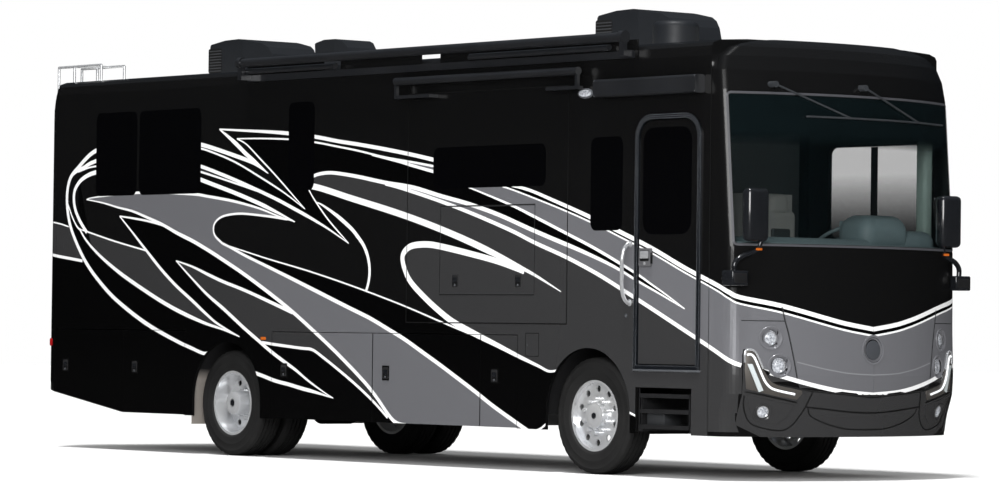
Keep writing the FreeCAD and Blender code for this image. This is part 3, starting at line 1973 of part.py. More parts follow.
# Wheelhouses: half-round liners over each wheel, and the flaps behind the rear pair.
liners = []
for name, side in SIDES:
    low, high = across(side, half_width - size.liner_depth, skirt_inner - size.seat_gap)
    for x in (axle_x, rear_axle_x):
        outer = rod("y", size.liner_radius + size.liner_plate, high - low, x, low, axle_z)
        hollow = rod("y", size.liner_radius, high - low + size.overrun * 2, x, low - size.overrun, axle_z)
        under = block(
            x - size.liner_radius * 2,
            x + size.liner_radius * 2,
            low - size.overrun,
            high + size.overrun,
            axle_z - size.liner_radius * 2,
            axle_z,
        )
        pieces = [cut(outer, hollow, under)]
        stand = block(
            x - size.cross_width / 2,
            x + size.cross_width / 2,
            low,
            high,
            axle_z + size.liner_radius + size.liner_plate / 2,
            deck_low,
        )
        pieces.append(stand)
        if x is rear_axle_x:
            flap_x = x - size.liner_radius - size.liner_plate
            pieces.append(
                block(
                    flap_x,
                    flap_x + size.liner_plate,
                    low,
                    high,
                    size.flap_bottom,
                    axle_z,
                )
            )
        liners.append(fuse(*pieces))
node("wheelhouses", together(*liners))

# Axles. The front one is a beam with an eye for each kingpin, the rear one a tube with
# the differential in the middle. Air springs stand on both.
def air_spring(x, y, low):
    """A rolling-lobe air spring between an axle and the frame."""
    top = size.rail_bottom - size.seat_gap
    return rod("z", size.spring_radius, top - low, x, y, low)


king = size.kingpin_offset
beam_half = size.axle_beam_height / 2
beam_top = axle_z - size.axle_beam_width / 2
beam_middle = beam_top - beam_half
web = size.axle_web / 2
flange = size.axle_flange
beam_span = king - size.knuckle_radius - size.axle_beam_width
wide = size.axle_beam_width / 2
beam_section = [
    (axle_x - wide, beam_middle - beam_half),
    (axle_x + wide, beam_middle - beam_half),
    (axle_x + wide, beam_middle - beam_half + flange),
    (axle_x + web, beam_middle - beam_half + flange),
    (axle_x + web, beam_middle + beam_half - flange),
    (axle_x + wide, beam_middle + beam_half - flange),
    (axle_x + wide, beam_middle + beam_half),
    (axle_x - wide, beam_middle + beam_half),
    (axle_x - wide, beam_middle + beam_half - flange),
    (axle_x - web, beam_middle + beam_half - flange),
    (axle_x - web, beam_middle - beam_half + flange),
    (axle_x - wide, beam_middle - beam_half + flange),
]
front_axle = [slab("side", [beam_section], -beam_span, beam_span)]
eye_half = size.kingpin_height / 4
for name, side in SIDES:
    stem_end = king - size.knuckle_radius - size.panel_gap
    low, high = across(side, beam_span - size.overrun, stem_end)
    front_axle.append(
        block(axle_x - wide, axle_x + wide, low, high, beam_middle - beam_half, axle_z + eye_half)
    )
    low, high = across(side, stem_end, king)
    front_axle.append(
        block(axle_x - wide, axle_x + wide, low, high, axle_z - eye_half, axle_z + eye_half)
    )
    front_axle.append(
        rod("z", size.knuckle_radius, eye_half * 2, axle_x, side * king, axle_z - eye_half)
    )
    front_axle.append(
        rod(
            "z",
            size.kingpin_radius,
            size.kingpin_height,
            axle_x,
            side * king,
            axle_z - size.kingpin_height / 2,
        )
    )
    front_axle.append(air_spring(axle_x, side * (size.spring_offset - size.spring_radius), beam_middle + beam_half))
node("front_axle", fuse(*front_axle))

rear_tube_end = size.tyre_face - size.tyre_width - size.twin_spacing
rear_axle = [
    rod("y", size.axle_tube_radius, rear_tube_end * 2, rear_axle_x, -rear_tube_end, axle_z),
    rod(
        "y",
        size.differential_radius,
        size.differential_length,
        rear_axle_x,
        -size.differential_length / 2,
        axle_z,
    ),
]
for name, side in SIDES:
    rear_axle.append(air_spring(rear_axle_x, side * (rail_out - size.rail_width / 2), axle_z))
node("rear_axle", fuse(*rear_axle))

# Knuckles: two ears round the kingpin, a plate and the spindle that carries the wheel.
for name, side in SIDES:
    ears = []
    for low_share in (-1, 1):
        if low_share < 0:
            low = axle_z - size.kingpin_height / 2
            high = axle_z - eye_half - size.seat_gap
        else:
            low = axle_z + eye_half + size.seat_gap
            high = axle_z + size.kingpin_height / 2
        ears.append(rod("z", size.knuckle_radius, high - low, axle_x, side * king, low))
    outer_y = king + size.knuckle_radius + size.panel_gap
    plate_low, plate_high = across(side, outer_y, outer_y + size.knuckle_radius / 2)
    ears.append(
        block(
            axle_x - size.knuckle_radius,
            axle_x + size.knuckle_radius,
            plate_low,
            plate_high,
            axle_z - size.kingpin_height / 2,
            axle_z + size.kingpin_height / 2,
        )
    )
    for low_share in (-1, 1):
        if low_share < 0:
            low = axle_z - size.kingpin_height / 2
            high = axle_z - eye_half - size.seat_gap
        else:
            low = axle_z + eye_half + size.seat_gap
            high = axle_z + size.kingpin_height / 2
        ear_low, ear_high = across(side, king, outer_y)
        ears.append(
            block(axle_x - size.knuckle_radius, axle_x + size.knuckle_radius, ear_low, ear_high, low, high)
        )
    spindle_end = size.tyre_face - size.rim_thickness * 4
    spin_low, spin_high = across(side, outer_y, spindle_end)
    ears.append(rod("y", size.spindle_radius, spin_high - spin_low, axle_x, spin_low, axle_z))
    pin_hole = rod(
        "z",
        size.kingpin_radius + size.seat_gap,
        size.kingpin_height * 2,
        axle_x,
        side * king,
        axle_z - size.kingpin_height,
    )
    node(f"knuckle_{name}", cut(fuse(*ears), pin_hole))

# Tyres and rims.
def tyre(x, side, middle):
    """A tyre turned about its axle, round bead seats to fit the rim."""
    half = size.tyre_width / 2
    inner = size.rim_radius + size.seat_gap
    rise = size.tyre_radius - inner
    outer_points = [(half * across_share, inner + rise * up_share) for across_share, up_share in TYRE_SHARES]
    points = outer_points + [(-a, b) for a, b in reversed(outer_points)]
    return turned(points, x, side * middle, axle_z)


def rim(x, side, middle, disc_place, deep):
    """A forged rim: a barrel with flanges, and a disc with ten round hand holes."""
    half = size.rim_width / 2
    wall = size.rim_wall
    seat = size.rim_radius
    barrel = [
        (-half, size.rim_flange_radius),
        (-half, seat - wall),
        (half, seat - wall),
        (half, size.rim_flange_radius),
        (half - wall, size.rim_flange_radius),
        (half - wall, seat),
        (-half + wall, seat),
        (-half + wall, size.rim_flange_radius),
    ]
    ring_piece = turned(barrel, x, side * middle, axle_z, side)
    disc_low, disc_high = across(side, disc_place - size.rim_thickness, disc_place)
    body = doc.addObject("PartDesign::Body", fresh("disc"))
    sketch = sketch_on(body, "side", 0)
    circle = sketch.addGeometry(Part.Circle(Vector(), Vector(0, 0, 1), (seat - wall / 2).value))
    sketch.addConstraint(Sketcher.Constraint("Coincident", circle, 3, -1, 1))
    index = sketch.addConstraint(Sketcher.Constraint("Radius", circle, (seat - wall / 2).value))
    bind(sketch, f"Constraints[{index}]", seat - wall / 2)
    pad = body.newObject("PartDesign::Pad", fresh("pad"))
    pad.Profile = sketch
    bind(pad, "Length", size.rim_thickness)
    pad.Midplane = True
    hole_sketch = sketch_on(body, "side", 0)
    hole = hole_sketch.addGeometry(
        Part.Circle(Vector(0, size.hand_hole_circle.value, 0), Vector(0, 0, 1), size.hand_hole_radius.value)
    )
    fix_point(hole_sketch, hole, 3, (0, size.hand_hole_circle))
    index = hole_sketch.addConstraint(Sketcher.Constraint("Radius", hole, size.hand_hole_radius.value))
    bind(hole_sketch, f"Constraints[{index}]", size.hand_hole_radius)
    pocket = body.newObject("PartDesign::Pocket", fresh("pocket"))
    pocket.Profile = hole_sketch
    pocket.Type = "ThroughAll"
    pocket.Midplane = True
    pattern = body.newObject("PartDesign::PolarPattern", fresh("pattern"))
    pattern.Originals = [pocket]
    pattern.Axis = (hole_sketch, ["N_Axis"])
    pattern.Angle = 360
    pattern.Occurrences = HAND_HOLE_COUNT
    body.Tip = pattern
    place(body, x, side * (middle + disc_place - size.rim_thickness / 2), axle_z)
    pieces = [ring_piece, body]
    if deep:
        hub_low, hub_high = across(side, middle + disc_place - size.hub_length * 0.2, middle + disc_place + size.hub_length)
    else:
        hub_low, hub_high = across(side, middle + disc_place - size.hub_length, middle + disc_place + size.hub_length * 0.4)
    pieces.append(rod("y", size.hub_radius, hub_high - hub_low, x, hub_low, axle_z))
    nut_low, nut_high = across(side, middle + disc_place - size.rim_thickness / 2, middle + disc_place + size.nut_length)
    for index in range(STUD_COUNT):
        turn = 2 * math.pi * (index + 0.5) / STUD_COUNT
        pieces.append(
            rod(
                "y",
                size.nut_radius,
                nut_high - nut_low,
                x + size.stud_circle * math.cos(turn),
                nut_low,
                axle_z + size.stud_circle * math.sin(turn),
            )
        )
    return fuse(*pieces)


middle = size.tyre_face - size.tyre_width / 2
front_disc = size.rim_width / 2 - size.rim_thickness * 3
deep_disc = size.rim_thickness * 3 - size.rim_width / 2
for name, side in SIDES:
    node(f"front_tyre_{name}", tyre(axle_x, side, middle))
    bore_low, bore_high = across(side, king, spindle_end + size.panel_gap)
    bore = rod("y", size.spindle_radius + size.seat_gap, bore_high - bore_low, axle_x, bore_low, axle_z)
    node(f"front_rim_{name}", cut(rim(axle_x, side, middle, front_disc, False), bore))
    inner_middle = middle - size.twin_spacing
    node(
        f"rear_tyre_{name}",
        together(tyre(rear_axle_x, side, middle), tyre(rear_axle_x, side, inner_middle)),
    )
    outer_rim = rim(rear_axle_x, side, middle, deep_disc, True)
    inner_low, inner_high = across(
        side,
        rear_tube_end + size.seat_gap,
        middle + deep_disc,
    )
    hub = rod("y", size.hub_radius, inner_high - inner_low, rear_axle_x, inner_low, axle_z)
    inner_rim = rim(rear_axle_x, side, inner_middle, front_disc, False)
    node(f"rear_rim_{name}", fuse(outer_rim, hub, inner_rim))

doc.recompute()
faults = []
for item in doc.Objects:
    if "Invalid" in item.State or "Error" in item.State:
        faults.append(f"{item.Name} ({item.Label}) is {item.State}")
for piece in nodes:
    if piece.Shape.isNull() or not piece.Shape.isValid():
        faults.append(f"{piece.Label} has no valid shape")
if faults:
    raise RuntimeError("; ".join(faults[:20]))

os.makedirs("parts", exist_ok=True)
for piece in nodes:
    piece.Shape.exportStep(f"parts/{piece.Label}.step")
    print(piece.Label, len(piece.Shape.Solids), round(piece.Shape.Volume / 1e6, 2))
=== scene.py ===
import math

import bmesh
import bpy
from mathutils import Matrix, Vector
from mathutils.bvhtree import BVHTree
from mathutils.geometry import delaunay_2d_cdt


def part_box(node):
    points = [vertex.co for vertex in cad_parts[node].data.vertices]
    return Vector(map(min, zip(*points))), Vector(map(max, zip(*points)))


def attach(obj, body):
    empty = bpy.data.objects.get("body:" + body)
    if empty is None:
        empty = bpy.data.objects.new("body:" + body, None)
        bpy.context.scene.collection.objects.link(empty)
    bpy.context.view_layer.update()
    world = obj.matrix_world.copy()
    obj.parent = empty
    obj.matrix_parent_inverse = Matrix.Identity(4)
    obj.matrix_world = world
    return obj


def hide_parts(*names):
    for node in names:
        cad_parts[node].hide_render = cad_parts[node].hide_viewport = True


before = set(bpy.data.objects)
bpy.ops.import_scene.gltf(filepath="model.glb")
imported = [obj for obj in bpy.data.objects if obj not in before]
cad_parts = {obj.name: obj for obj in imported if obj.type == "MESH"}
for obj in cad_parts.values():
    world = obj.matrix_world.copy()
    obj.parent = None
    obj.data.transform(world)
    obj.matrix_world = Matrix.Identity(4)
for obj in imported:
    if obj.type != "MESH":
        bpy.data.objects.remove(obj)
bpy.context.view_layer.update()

# Painted side panels: flat laminate walls, skirts and doors in black gloss, with swooping
# stripes in white, silver and charcoal that run on from panel to panel. Each colour is sprayed
# and lacquered, so the stripes lie in the face of the panel. The left side mirrors the right.
SIDES = ((-1, "right"), (1, "left"))
side_face = -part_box("side_wall_right")[0][1]
tyre_low, tyre_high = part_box("front_tyre_right")
axle_x = (tyre_low[0] + tyre_high[0]) / 2
paint_film = 0.0014


class Signal:
    """A socket of a finish, so that the sums of a shader read as plain maths."""

    def __init__(self, finish, socket):
        self.finish = finish
        self.socket = socket

    def work(self, operation, first, second):
        return self.finish.node("ShaderNodeMath", {"operation": operation}, {0: first, 1: second})

    def __add__(self, other):
        return self.work("ADD", self, other)

    def __radd__(self, other):
        return self.work("ADD", other, self)

    def __sub__(self, other):
        return self.work("SUBTRACT", self, other)

    def __rsub__(self, other):
        return self.work("SUBTRACT", other, self)

    def __mul__(self, other):
        return self.work("MULTIPLY", self, other)

    def __rmul__(self, other):
        return self.work("MULTIPLY", other, self)

    def __abs__(self):
        return self.finish.node("ShaderNodeMath", {"operation": "ABSOLUTE"}, {0: self})

    def over(self, limit):
        """One where the signal is over a limit, and nothing elsewhere."""
        return self.work("GREATER_THAN", self, limit)

    def under(self, limit):
        """One where the signal is under a limit, and nothing elsewhere."""
        return self.work("LESS_THAN", self, limit)


class Nodes:
    """The nodes of a finish or of the sky, and the links between them."""

    def __init__(self, tree):
        self.tree = tree

    def feed(self, target, value):
        """Give a socket a value or a link."""
        if isinstance(value, Signal):
            self.tree.links.new(value.socket, target)
        else:
            target.default_value = value

    def node(self, kind, settings, sockets, output=0):
        """Add a node with its settings and the values or links of its sockets."""
        node = self.tree.nodes.new(kind)
        for setting, value in settings.items():
            if setting == "stops":
                for index, (place, color) in enumerate(value):
                    elements = node.color_ramp.elements
                    element = elements[index] if index < len(elements) else elements.new(place)
                    element.position = place
                    element.color = color
            else:
                setattr(node, setting, value)
        for socket, value in sockets.items():
            self.feed(node.inputs[socket], value)
        return Signal(self, node.outputs[output])

    def blend(self, share, first, second):
        """Blend two colours by a share."""
        sockets = {"Factor": share, "A": first, "B": second}
        return self.node("ShaderNodeMix", {"data_type": "RGBA"}, sockets, "Result")


class Finish(Nodes):
    """One finish of the coach: a Principled shader and the nodes that feed it."""

    def __init__(self, name, color, roughness, **sockets):
        self.material = bpy.data.materials.new(name)
        self.material.use_nodes = True
        super().__init__(self.material.node_tree)
        self.shader = self.tree.nodes["Principled BSDF"]
        self.set("Base Color", (*color, 1.0))
        self.set("Roughness", roughness)
        for socket, value in sockets.items():
            self.set(socket.replace("_", " "), value)

    def set(self, socket, value):
        """Give a socket of the shader a value or a link."""
        self.feed(self.shader.inputs[socket], value)

    def place(self):
        """The object's own coordinates."""
        return self.node("ShaderNodeTexCoord", {}, {}, "Object")

    def measure(self, axis):
        """One of the object's own coordinates: X forward, Y to the left or Z up."""
        return self.node("ShaderNodeSeparateXYZ", {}, {"Vector": self.place()}, axis)

    def fade(self, value, start, stop, low=0.0, high=1.0):
        """Go from low to high while a value goes from start to stop."""
        sockets = {"Value": value, "From Min": start, "From Max": stop, "To Min": low, "To Max": high}
        return self.node("ShaderNodeMapRange", {"clamp": True}, sockets)

    def noise(self, scale, detail=3.0):
        """An uneven field with about this many patches a metre."""
        sockets = {"Vector": self.place(), "Scale": scale, "Detail": detail}
        return self.node("ShaderNodeTexNoise", {}, sockets)

    def ribs(self, direction, scale):
        """Even ribs that follow each other in one direction."""
        sockets = {"Vector": self.place(), "Scale": scale}
        return self.node("ShaderNodeTexWave", {"bands_direction": direction}, sockets)

    def bump(self, height, strength, distance):
        """Raise the surface by a height signal."""
        sockets = {"Height": height, "Strength": strength, "Distance": distance}
        self.set("Normal", self.node("ShaderNodeBump", {}, sockets))

    def tint(self, share, first, second):
        """Blend two colours by a share and put them on the surface."""
        self.set("Base Color", self.blend(share, (*first, 1.0), (*second, 1.0)))


def coach_paint(name, color, metallic=0.0, roughness=0.22, coating=0.6):
    """Lacquered paint with a faint orange peel and a film of road dust low down."""
    finish = Finish(
        name,
        color,
        roughness,
        Metallic=metallic,
        Coat_Weight=coating,
        Coat_Roughness=0.05,
        Specular_IOR_Level=0.2 + coating * 0.5,
    )
    dust_top, dust_bottom, most_dust = 1.1, 0.3, 0.02
    dust = finish.fade(finish.measure("Z"), dust_top, dust_bottom, 0.0, most_dust)
    dusty = tuple(channel * 0.8 + 0.02 for channel in color)
    finish.tint(dust * (0.4 + finish.noise(3.0)), color, dusty)
    finish.set("Roughness", roughness + finish.noise(9.0) * 0.05)
    finish.bump(finish.noise(30.0, 1.0), 0.012, 0.001)
    return finish.material


def coat(finish, *nodes):
    """Give carried-over CAD nodes a finish."""
    for node in nodes:
        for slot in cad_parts[node].material_slots:
            slot.material = finish


PAINTS = {
    "black": coach_paint("black lacquer", (0.0044, 0.0044, 0.0045), coating=0.12),
    "deep black": coach_paint("deep black lacquer", (0.0012, 0.0012, 0.0013), coating=0.12),
    "charcoal": coach_paint("charcoal lacquer", (0.0330, 0.0330, 0.0341)),
    "silver": coach_paint("silver grey lacquer", (0.1550, 0.1565, 0.1690), 0.2, 0.3),
    "white": coach_paint("white lacquer", (0.90, 0.90, 0.90)),
}

# Each stripe: its width at the start, on the way and at the end, then the points of its
# middle line, forward of the front axle and up from the road, in metres.
STRIPES = {
    "outer loop": (0.042, 0.040, 0.030, (
        (-7.34, 2.905), (-7.50, 2.850), (-7.69, 2.736), (-7.84, 2.621), (-7.887, 2.43), (-7.836, 2.20),
        (-7.71, 2.00), (-7.53, 1.80), (-7.30, 1.621), (-7.00, 1.44), (-6.50, 1.221), (-6.00, 1.061),
        (-5.745, 0.994), (-5.54, 0.945), (-5.45, 0.962), (-5.38, 1.0),
    )),
    "loop second": (0.036, 0.038, 0.020, (
        (-7.34, 2.800), (-7.50, 2.764), (-7.60, 2.729), (-7.70, 2.705), (-7.79, 2.660),
    )),
    "loop third": (0.016, 0.016, 0.016, ((-7.34, 2.742), (-7.50, 2.729), (-7.60, 2.71), (-7.70, 2.69))),
    "inner loop": (0.044, 0.040, 0.038, (
        (-7.34, 2.685), (-7.50, 2.660), (-7.65, 2.605), (-7.745, 2.52), (-7.765, 2.43), (-7.735, 2.32),
        (-7.643, 2.20), (-7.53, 2.098),
    )),
    "loop branch": (0.016, 0.018, 0.020, (
        (-7.875, 2.39), (-7.829, 2.314), (-7.771, 2.229), (-7.70, 2.155), (-7.655, 2.130),
    )),
    "spear under": (0.020, 0.038, 0.010, (
        (-7.66, 2.135), (-7.53, 2.014), (-7.30, 1.871), (-7.0, 1.724), (-6.752, 1.621), (-6.50, 1.524),
        (-6.25, 1.433), (-6.0, 1.352), (-5.745, 1.282), (-5.494, 1.221), (-5.239, 1.172),
        (-4.973, 1.106),
    )),
    "spear thin": (0.014, 0.016, 0.016, (
        (-7.655, 2.131), (-7.50, 2.10), (-7.10, 2.018), (-6.80, 1.964), (-6.50, 1.912),
    )),
    "spear over": (0.014, 0.032, 0.010, (
        (-6.967, 2.248), (-6.752, 2.094), (-6.50, 1.909), (-6.25, 1.73), (-6.0, 1.576), (-5.745, 1.442),
        (-5.494, 1.306), (-5.315, 1.221), (-4.973, 1.106),
    )),
    "spear top": (0.014, 0.020, 0.022, (
        (-6.967, 2.248), (-6.752, 2.227), (-6.50, 2.197), (-6.25, 2.155), (-6.148, 2.13),
    )),
    "silver under": (0.010, 0.036, 0.036, (
        (-7.542, 2.418), (-7.245, 2.379), (-6.997, 2.333), (-6.752, 2.294), (-6.50, 2.23),
        (-6.25, 2.161), (-6.0, 2.076), (-5.745, 2.0), (-5.494, 1.912), (-5.239, 1.815), (-4.9, 1.68),
        (-4.5, 1.505), (-4.2, 1.364), (-3.9, 1.207), (-3.5, 0.986), (-3.1, 0.743), (-2.9, 0.600),
        (-2.70, 0.43), (-2.58, 0.364), (-2.40, 0.345), (-2.2, 0.33),
    )),
    "silver companion": (0.026, 0.026, 0.024, (
        (-4.62, 1.058), (-4.40, 1.039), (-4.014, 1.011), (-3.85, 1.0), (-3.70, 0.94), (-3.50, 0.847),
        (-3.30, 0.75), (-3.10, 0.646), (-2.90, 0.53), (-2.72, 0.41),
    )),
    "blade top": (0.012, 0.030, 0.034, (
        (-6.012, 1.815), (-5.745, 1.758), (-5.494, 1.685), (-5.239, 1.615), (-4.9, 1.536),
        (-4.5, 1.429), (-4.157, 1.335),
    )),
    "blade under": (0.012, 0.034, 0.008, (
        (-6.012, 1.815), (-5.745, 1.645), (-5.494, 1.494), (-5.239, 1.367), (-4.9, 1.186),
        (-4.7, 1.086), (-4.5, 0.986), (-4.3, 0.897), (-4.1, 0.814), (-3.9, 0.717), (-3.671, 0.621),
        (-3.521, 0.567),
    )),
    "blade foot": (0.034, 0.034, 0.008, (
        (-4.78, 0.787), (-4.60, 0.75), (-4.40, 0.707), (-4.20, 0.679), (-4.0, 0.646), (-3.8, 0.617),
        (-3.521, 0.567),
    )),
    "silver top": (0.010, 0.026, 0.010, (
        (-7.542, 2.418), (-7.386, 2.438), (-6.6, 2.470), (-5.8, 2.443), (-5.50, 2.414), (-5.10, 2.364),
        (-4.70, 2.293), (-4.40, 2.218), (-4.136, 2.161),
    )),
    "oval top": (0.022, 0.020, 0.022, (
        (-4.25, 2.185), (-4.50, 2.212), (-4.80, 2.237), (-5.0, 2.247), (-5.2, 2.236), (-5.32, 2.208),
        (-5.395, 2.16), (-5.412, 2.10), (-5.38, 2.04), (-5.27, 1.975),
    )),
    "silver over": (0.022, 0.036, 0.036, (
        (-5.27, 1.975), (-5.10, 1.923), (-4.90, 1.857), (-4.50, 1.74), (-4.10, 1.621), (-3.70, 1.50),
        (-3.30, 1.379), (-3.0, 1.29), (-2.748, 1.2), (-2.50, 1.109), (-2.252, 1.003), (-2.0, 0.894),
        (-1.752, 0.782), (-1.50, 0.667), (-1.252, 0.548), (-1.0, 0.439), (-0.776, 0.345), (-0.6, 0.27),
    )),
    "oval thin": (0.012, 0.014, 0.016, (
        (-5.15, 1.945), (-4.90, 1.895), (-4.50, 1.817), (-3.90, 1.708), (-3.30, 1.584), (-2.80, 1.471),
        (-2.40, 1.374), (-2.0, 1.269), (-1.529, 1.15),
    )),
    "oval front": (0.012, 0.038, 0.030, (
        (-3.80, 2.332), (-3.70, 2.298), (-3.50, 2.207), (-3.30, 2.098), (-3.20, 2.025), (-3.10, 1.935),
        (-3.035, 1.83), (-3.010, 1.72), (-3.022, 1.614), (-3.06, 1.527),
    )),
    "sliver edge": (0.014, 0.016, 0.008, (
        (-3.94, 2.46), (-3.90, 2.415), (-3.85, 2.364), (-3.757, 2.279), (-3.60, 2.15), (-3.321, 1.957),
    )),
    "fan low": (0.040, 0.038, 0.008, (
        (-5.68, 2.588), (-5.50, 2.543), (-5.10, 2.446), (-4.70, 2.339), (-4.40, 2.247), (-4.136, 2.161),
    )),
    "fan low thin": (0.020, 0.018, 0.018, (
        (-5.68, 2.657), (-5.50, 2.621), (-5.10, 2.536), (-4.70, 2.447), (-4.55, 2.41),
    )),
    "fan middle": (0.034, 0.032, 0.008, (
        (-5.68, 2.71), (-5.50, 2.669), (-5.10, 2.567), (-4.70, 2.454), (-4.40, 2.364), (-4.20, 2.297),
        (-4.0, 2.229), (-3.80, 2.157), (-3.60, 2.079), (-3.321, 1.957),
    )),
    "fan thin": (0.018, 0.018, 0.008, (
        (-5.68, 2.875), (-5.50, 2.84), (-5.10, 2.733), (-4.70, 2.586), (-4.30, 2.426), (-3.986, 2.276),
    )),
    "fan top": (0.040, 0.038, 0.008, (
        (-5.68, 2.91), (-5.50, 2.879), (-5.10, 2.79), (-4.80, 2.714), (-4.557, 2.61),
    )),
    "barb": (0.014, 0.042, 0.008, (
        (-5.336, 3.039), (-5.10, 2.914), (-4.90, 2.793), (-4.70, 2.686), (-4.557, 2.61),
    )),
    "barb thin": (0.012, 0.016, 0.008, (
        (-5.057, 2.943), (-4.90, 2.885), (-4.70, 2.757), (-4.50, 2.629), (-4.30, 2.493), (-4.10, 2.354),
        (-3.986, 2.276),
    )),
    "crest": (0.014, 0.034, 0.036, (
        (-5.336, 3.039), (-5.0, 3.019), (-4.60, 2.996), (-4.257, 2.971), (-3.85, 2.929), (-3.50, 2.879),
        (-3.20, 2.843), (-2.80, 2.789), (-2.40, 2.729), (-2.05, 2.669),
    )),
    "crest thin": (0.012, 0.017, 0.020, (
        (-5.057, 2.943), (-4.70, 2.936), (-4.257, 2.917), (-3.85, 2.879), (-3.50, 2.83), (-3.20, 2.786),
        (-2.80, 2.717), (-2.40, 2.664), (-2.05, 2.615),
    )),
    "crest low": (0.018, 0.026, 0.030, (
        (-3.0, 2.745), (-2.80, 2.712), (-2.60, 2.676), (-2.40, 2.633), (-2.05, 2.565),
    )),
    "band top": (0.030, 0.036, 0.010, (
        (-3.90, 2.562), (-3.80, 2.586), (-3.65, 2.598), (-3.50, 2.59), (-3.20, 2.554), (-2.80, 2.493),
        (-2.40, 2.443), (-2.0, 2.36), (-1.60, 2.283), (-1.20, 2.186), (-0.80, 2.067), (-0.50, 1.981),
        (-0.10, 1.869), (0.30, 1.743), (0.643, 1.607), (0.90, 1.51), (1.207, 1.389),
    )),
    "band under": (0.030, 0.034, 0.034, (
        (-2.80, 2.483), (-2.60, 2.447), (-2.20, 2.36), (-1.80, 2.264), (-1.40, 2.157), (-1.0, 2.04),
        (-0.70, 1.939), (-0.30, 1.819), (0.10, 1.679), (0.443, 1.539), (0.80, 1.389), (1.207, 1.214),
        (1.50, 1.088), (1.66, 1.015), (1.80, 0.948), (2.025, 0.893), (2.409, 0.795), (2.754, 0.732),
        (3.0837, 0.708),
    )),
    "band foot": (0.055, 0.058, 0.008, (
        (-3.90, 2.484), (-3.70, 2.45), (-3.30, 2.363), (-2.80, 2.26), (-2.40, 2.171), (-2.0, 2.071),
        (-1.60, 1.96), (-1.20, 1.836), (-0.90, 1.735), (-0.70, 1.665), (-0.50, 1.585), (-0.36, 1.527),
    )),
    "leaf": (0.05, 0.056, 0.018, (
        (-0.85, 1.700), (-1.20, 1.785), (-1.60, 1.857), (-2.0, 1.921), (-2.20, 1.940), (-2.40, 1.929),
        (-2.50, 1.885), (-2.537, 1.82), (-2.493, 1.707), (-2.40, 1.60), (-2.20, 1.467), (-2.0, 1.354),
        (-1.80, 1.26), (-1.50, 1.160), (-1.20, 1.068), (-0.90, 0.973), (-0.645, 0.897), (-0.51, 0.855),
        (-0.40, 0.862),
    )),
    "rise under": (0.012, 0.026, 0.008, (
        (-1.62, 2.43), (-1.40, 2.371), (-1.0, 2.257), (-0.70, 2.157), (-0.30, 2.019), (0.10, 1.879),
        (0.579, 1.688), (0.80, 1.586), (1.0, 1.493), (1.207, 1.389),
    )),
    "rise thin": (0.014, 0.014, 0.016, (
        (-1.16, 2.43), (-1.0, 2.393), (-0.70, 2.314), (-0.30, 2.204), (0.10, 2.082), (0.40, 1.979),
        (0.80, 1.843), (1.207, 1.683), (1.60, 1.536), (1.72, 1.478), (1.826, 1.432), (2.175, 1.368),
        (2.57, 1.275), (2.80, 1.227), (3.0837, 1.187),
    )),
    "rise top": (0.024, 0.036, 0.036, (
        (-1.06, 2.44), (-0.80, 2.393), (-0.50, 2.307), (-0.10, 2.186), (0.10, 2.12), (0.40, 2.021),
        (0.80, 1.883), (1.207, 1.721), (1.60, 1.581), (1.72, 1.528), (1.826, 1.484), (2.175, 1.422),
        (2.57, 1.33), (2.80, 1.282), (3.0837, 1.242),
    )),
    "tail top": (0.014, 0.014, 0.014, (
        (-9.60, 2.235), (-9.35, 2.235), (-9.10, 2.235), (-8.85, 2.235), (-8.60, 2.234), (-8.40, 2.231),
        (-8.20, 2.212), (-8.0, 2.187), (-7.85, 2.157),
    )),
    "tail under": (0.028, 0.028, 0.028, (
        (-9.60, 1.915), (-9.35, 1.915), (-9.10, 1.915), (-8.85, 1.915), (-8.60, 1.914), (-8.40, 1.911),
        (-8.20, 1.893), (-8.0, 1.866), (-7.80, 1.844), (-7.60, 1.821),
    )),
    "arch fleck": (0.016, 0.018, 0.020, ((-0.68, 0.345), (-0.60, 0.37), (-0.52, 0.42), (-0.48, 0.46))),
    "step fleck": (0.018, 0.018, 0.018, ((0.45, 0.56), (0.54, 0.528), (0.63, 0.50))),
}


def catmull(points, steps):
    """A smooth line through given points."""
    padded = [points[0], *points, points[-1]]
    line = []
    for index in range(len(points) - 1):
        before, start, stop, after = (Vector(point) for point in padded[index : index + 4])
        for step in range(steps):
            t = step / steps
            pull = (stop - before) * t
            bend = (2 * before - 5 * start + 4 * stop - after) * t * t
            turn = (3 * start - before - 3 * stop + after) * t * t * t
            line.append(0.5 * (2 * start + pull + bend + turn))
    line.append(Vector(points[-1]))
    return line


STRIPE_STEPS = 5
SWELL_SHARE = 0.3


def ribbon(width_start, width_middle, width_end, points):
    """The two edges of a stripe, which swells from its start and thins out at its end."""
    line = catmull(points, STRIPE_STEPS)
    lengths = [0.0]
    for before, after in zip(line, line[1:]):
        lengths.append(lengths[-1] + (after - before).length)
    edges = []
    for index, point in enumerate(line):
        ahead = line[min(index + 1, len(line) - 1)] - line[max(index - 1, 0)]
        across = Vector((-ahead.y, ahead.x)).normalized()
        share = lengths[index] / lengths[-1]
        if share < SWELL_SHARE:
            width = width_start + (width_middle - width_start) * share / SWELL_SHARE
        elif share < 1 - SWELL_SHARE:
            width = width_middle
        else:
            thinning = (share - (1 - SWELL_SHARE)) / SWELL_SHARE
            width = width_middle + (width_end - width_middle) * thinning
        edges.append((point + across * width / 2, point - across * width / 2))
    return edges


def part_of(name, start=None, stop=None):
    """The points of a stripe's middle line from one place along the coach to another."""
    line = [tuple(point) for point in catmull(STRIPES[name][3], STRIPE_STEPS)]
    if start is None:
        return line
    if start > stop:
        line.reverse()
        return [point for point in line if stop <= point[0] <= start]
    return [point for point in line if start <= point[0] <= stop]


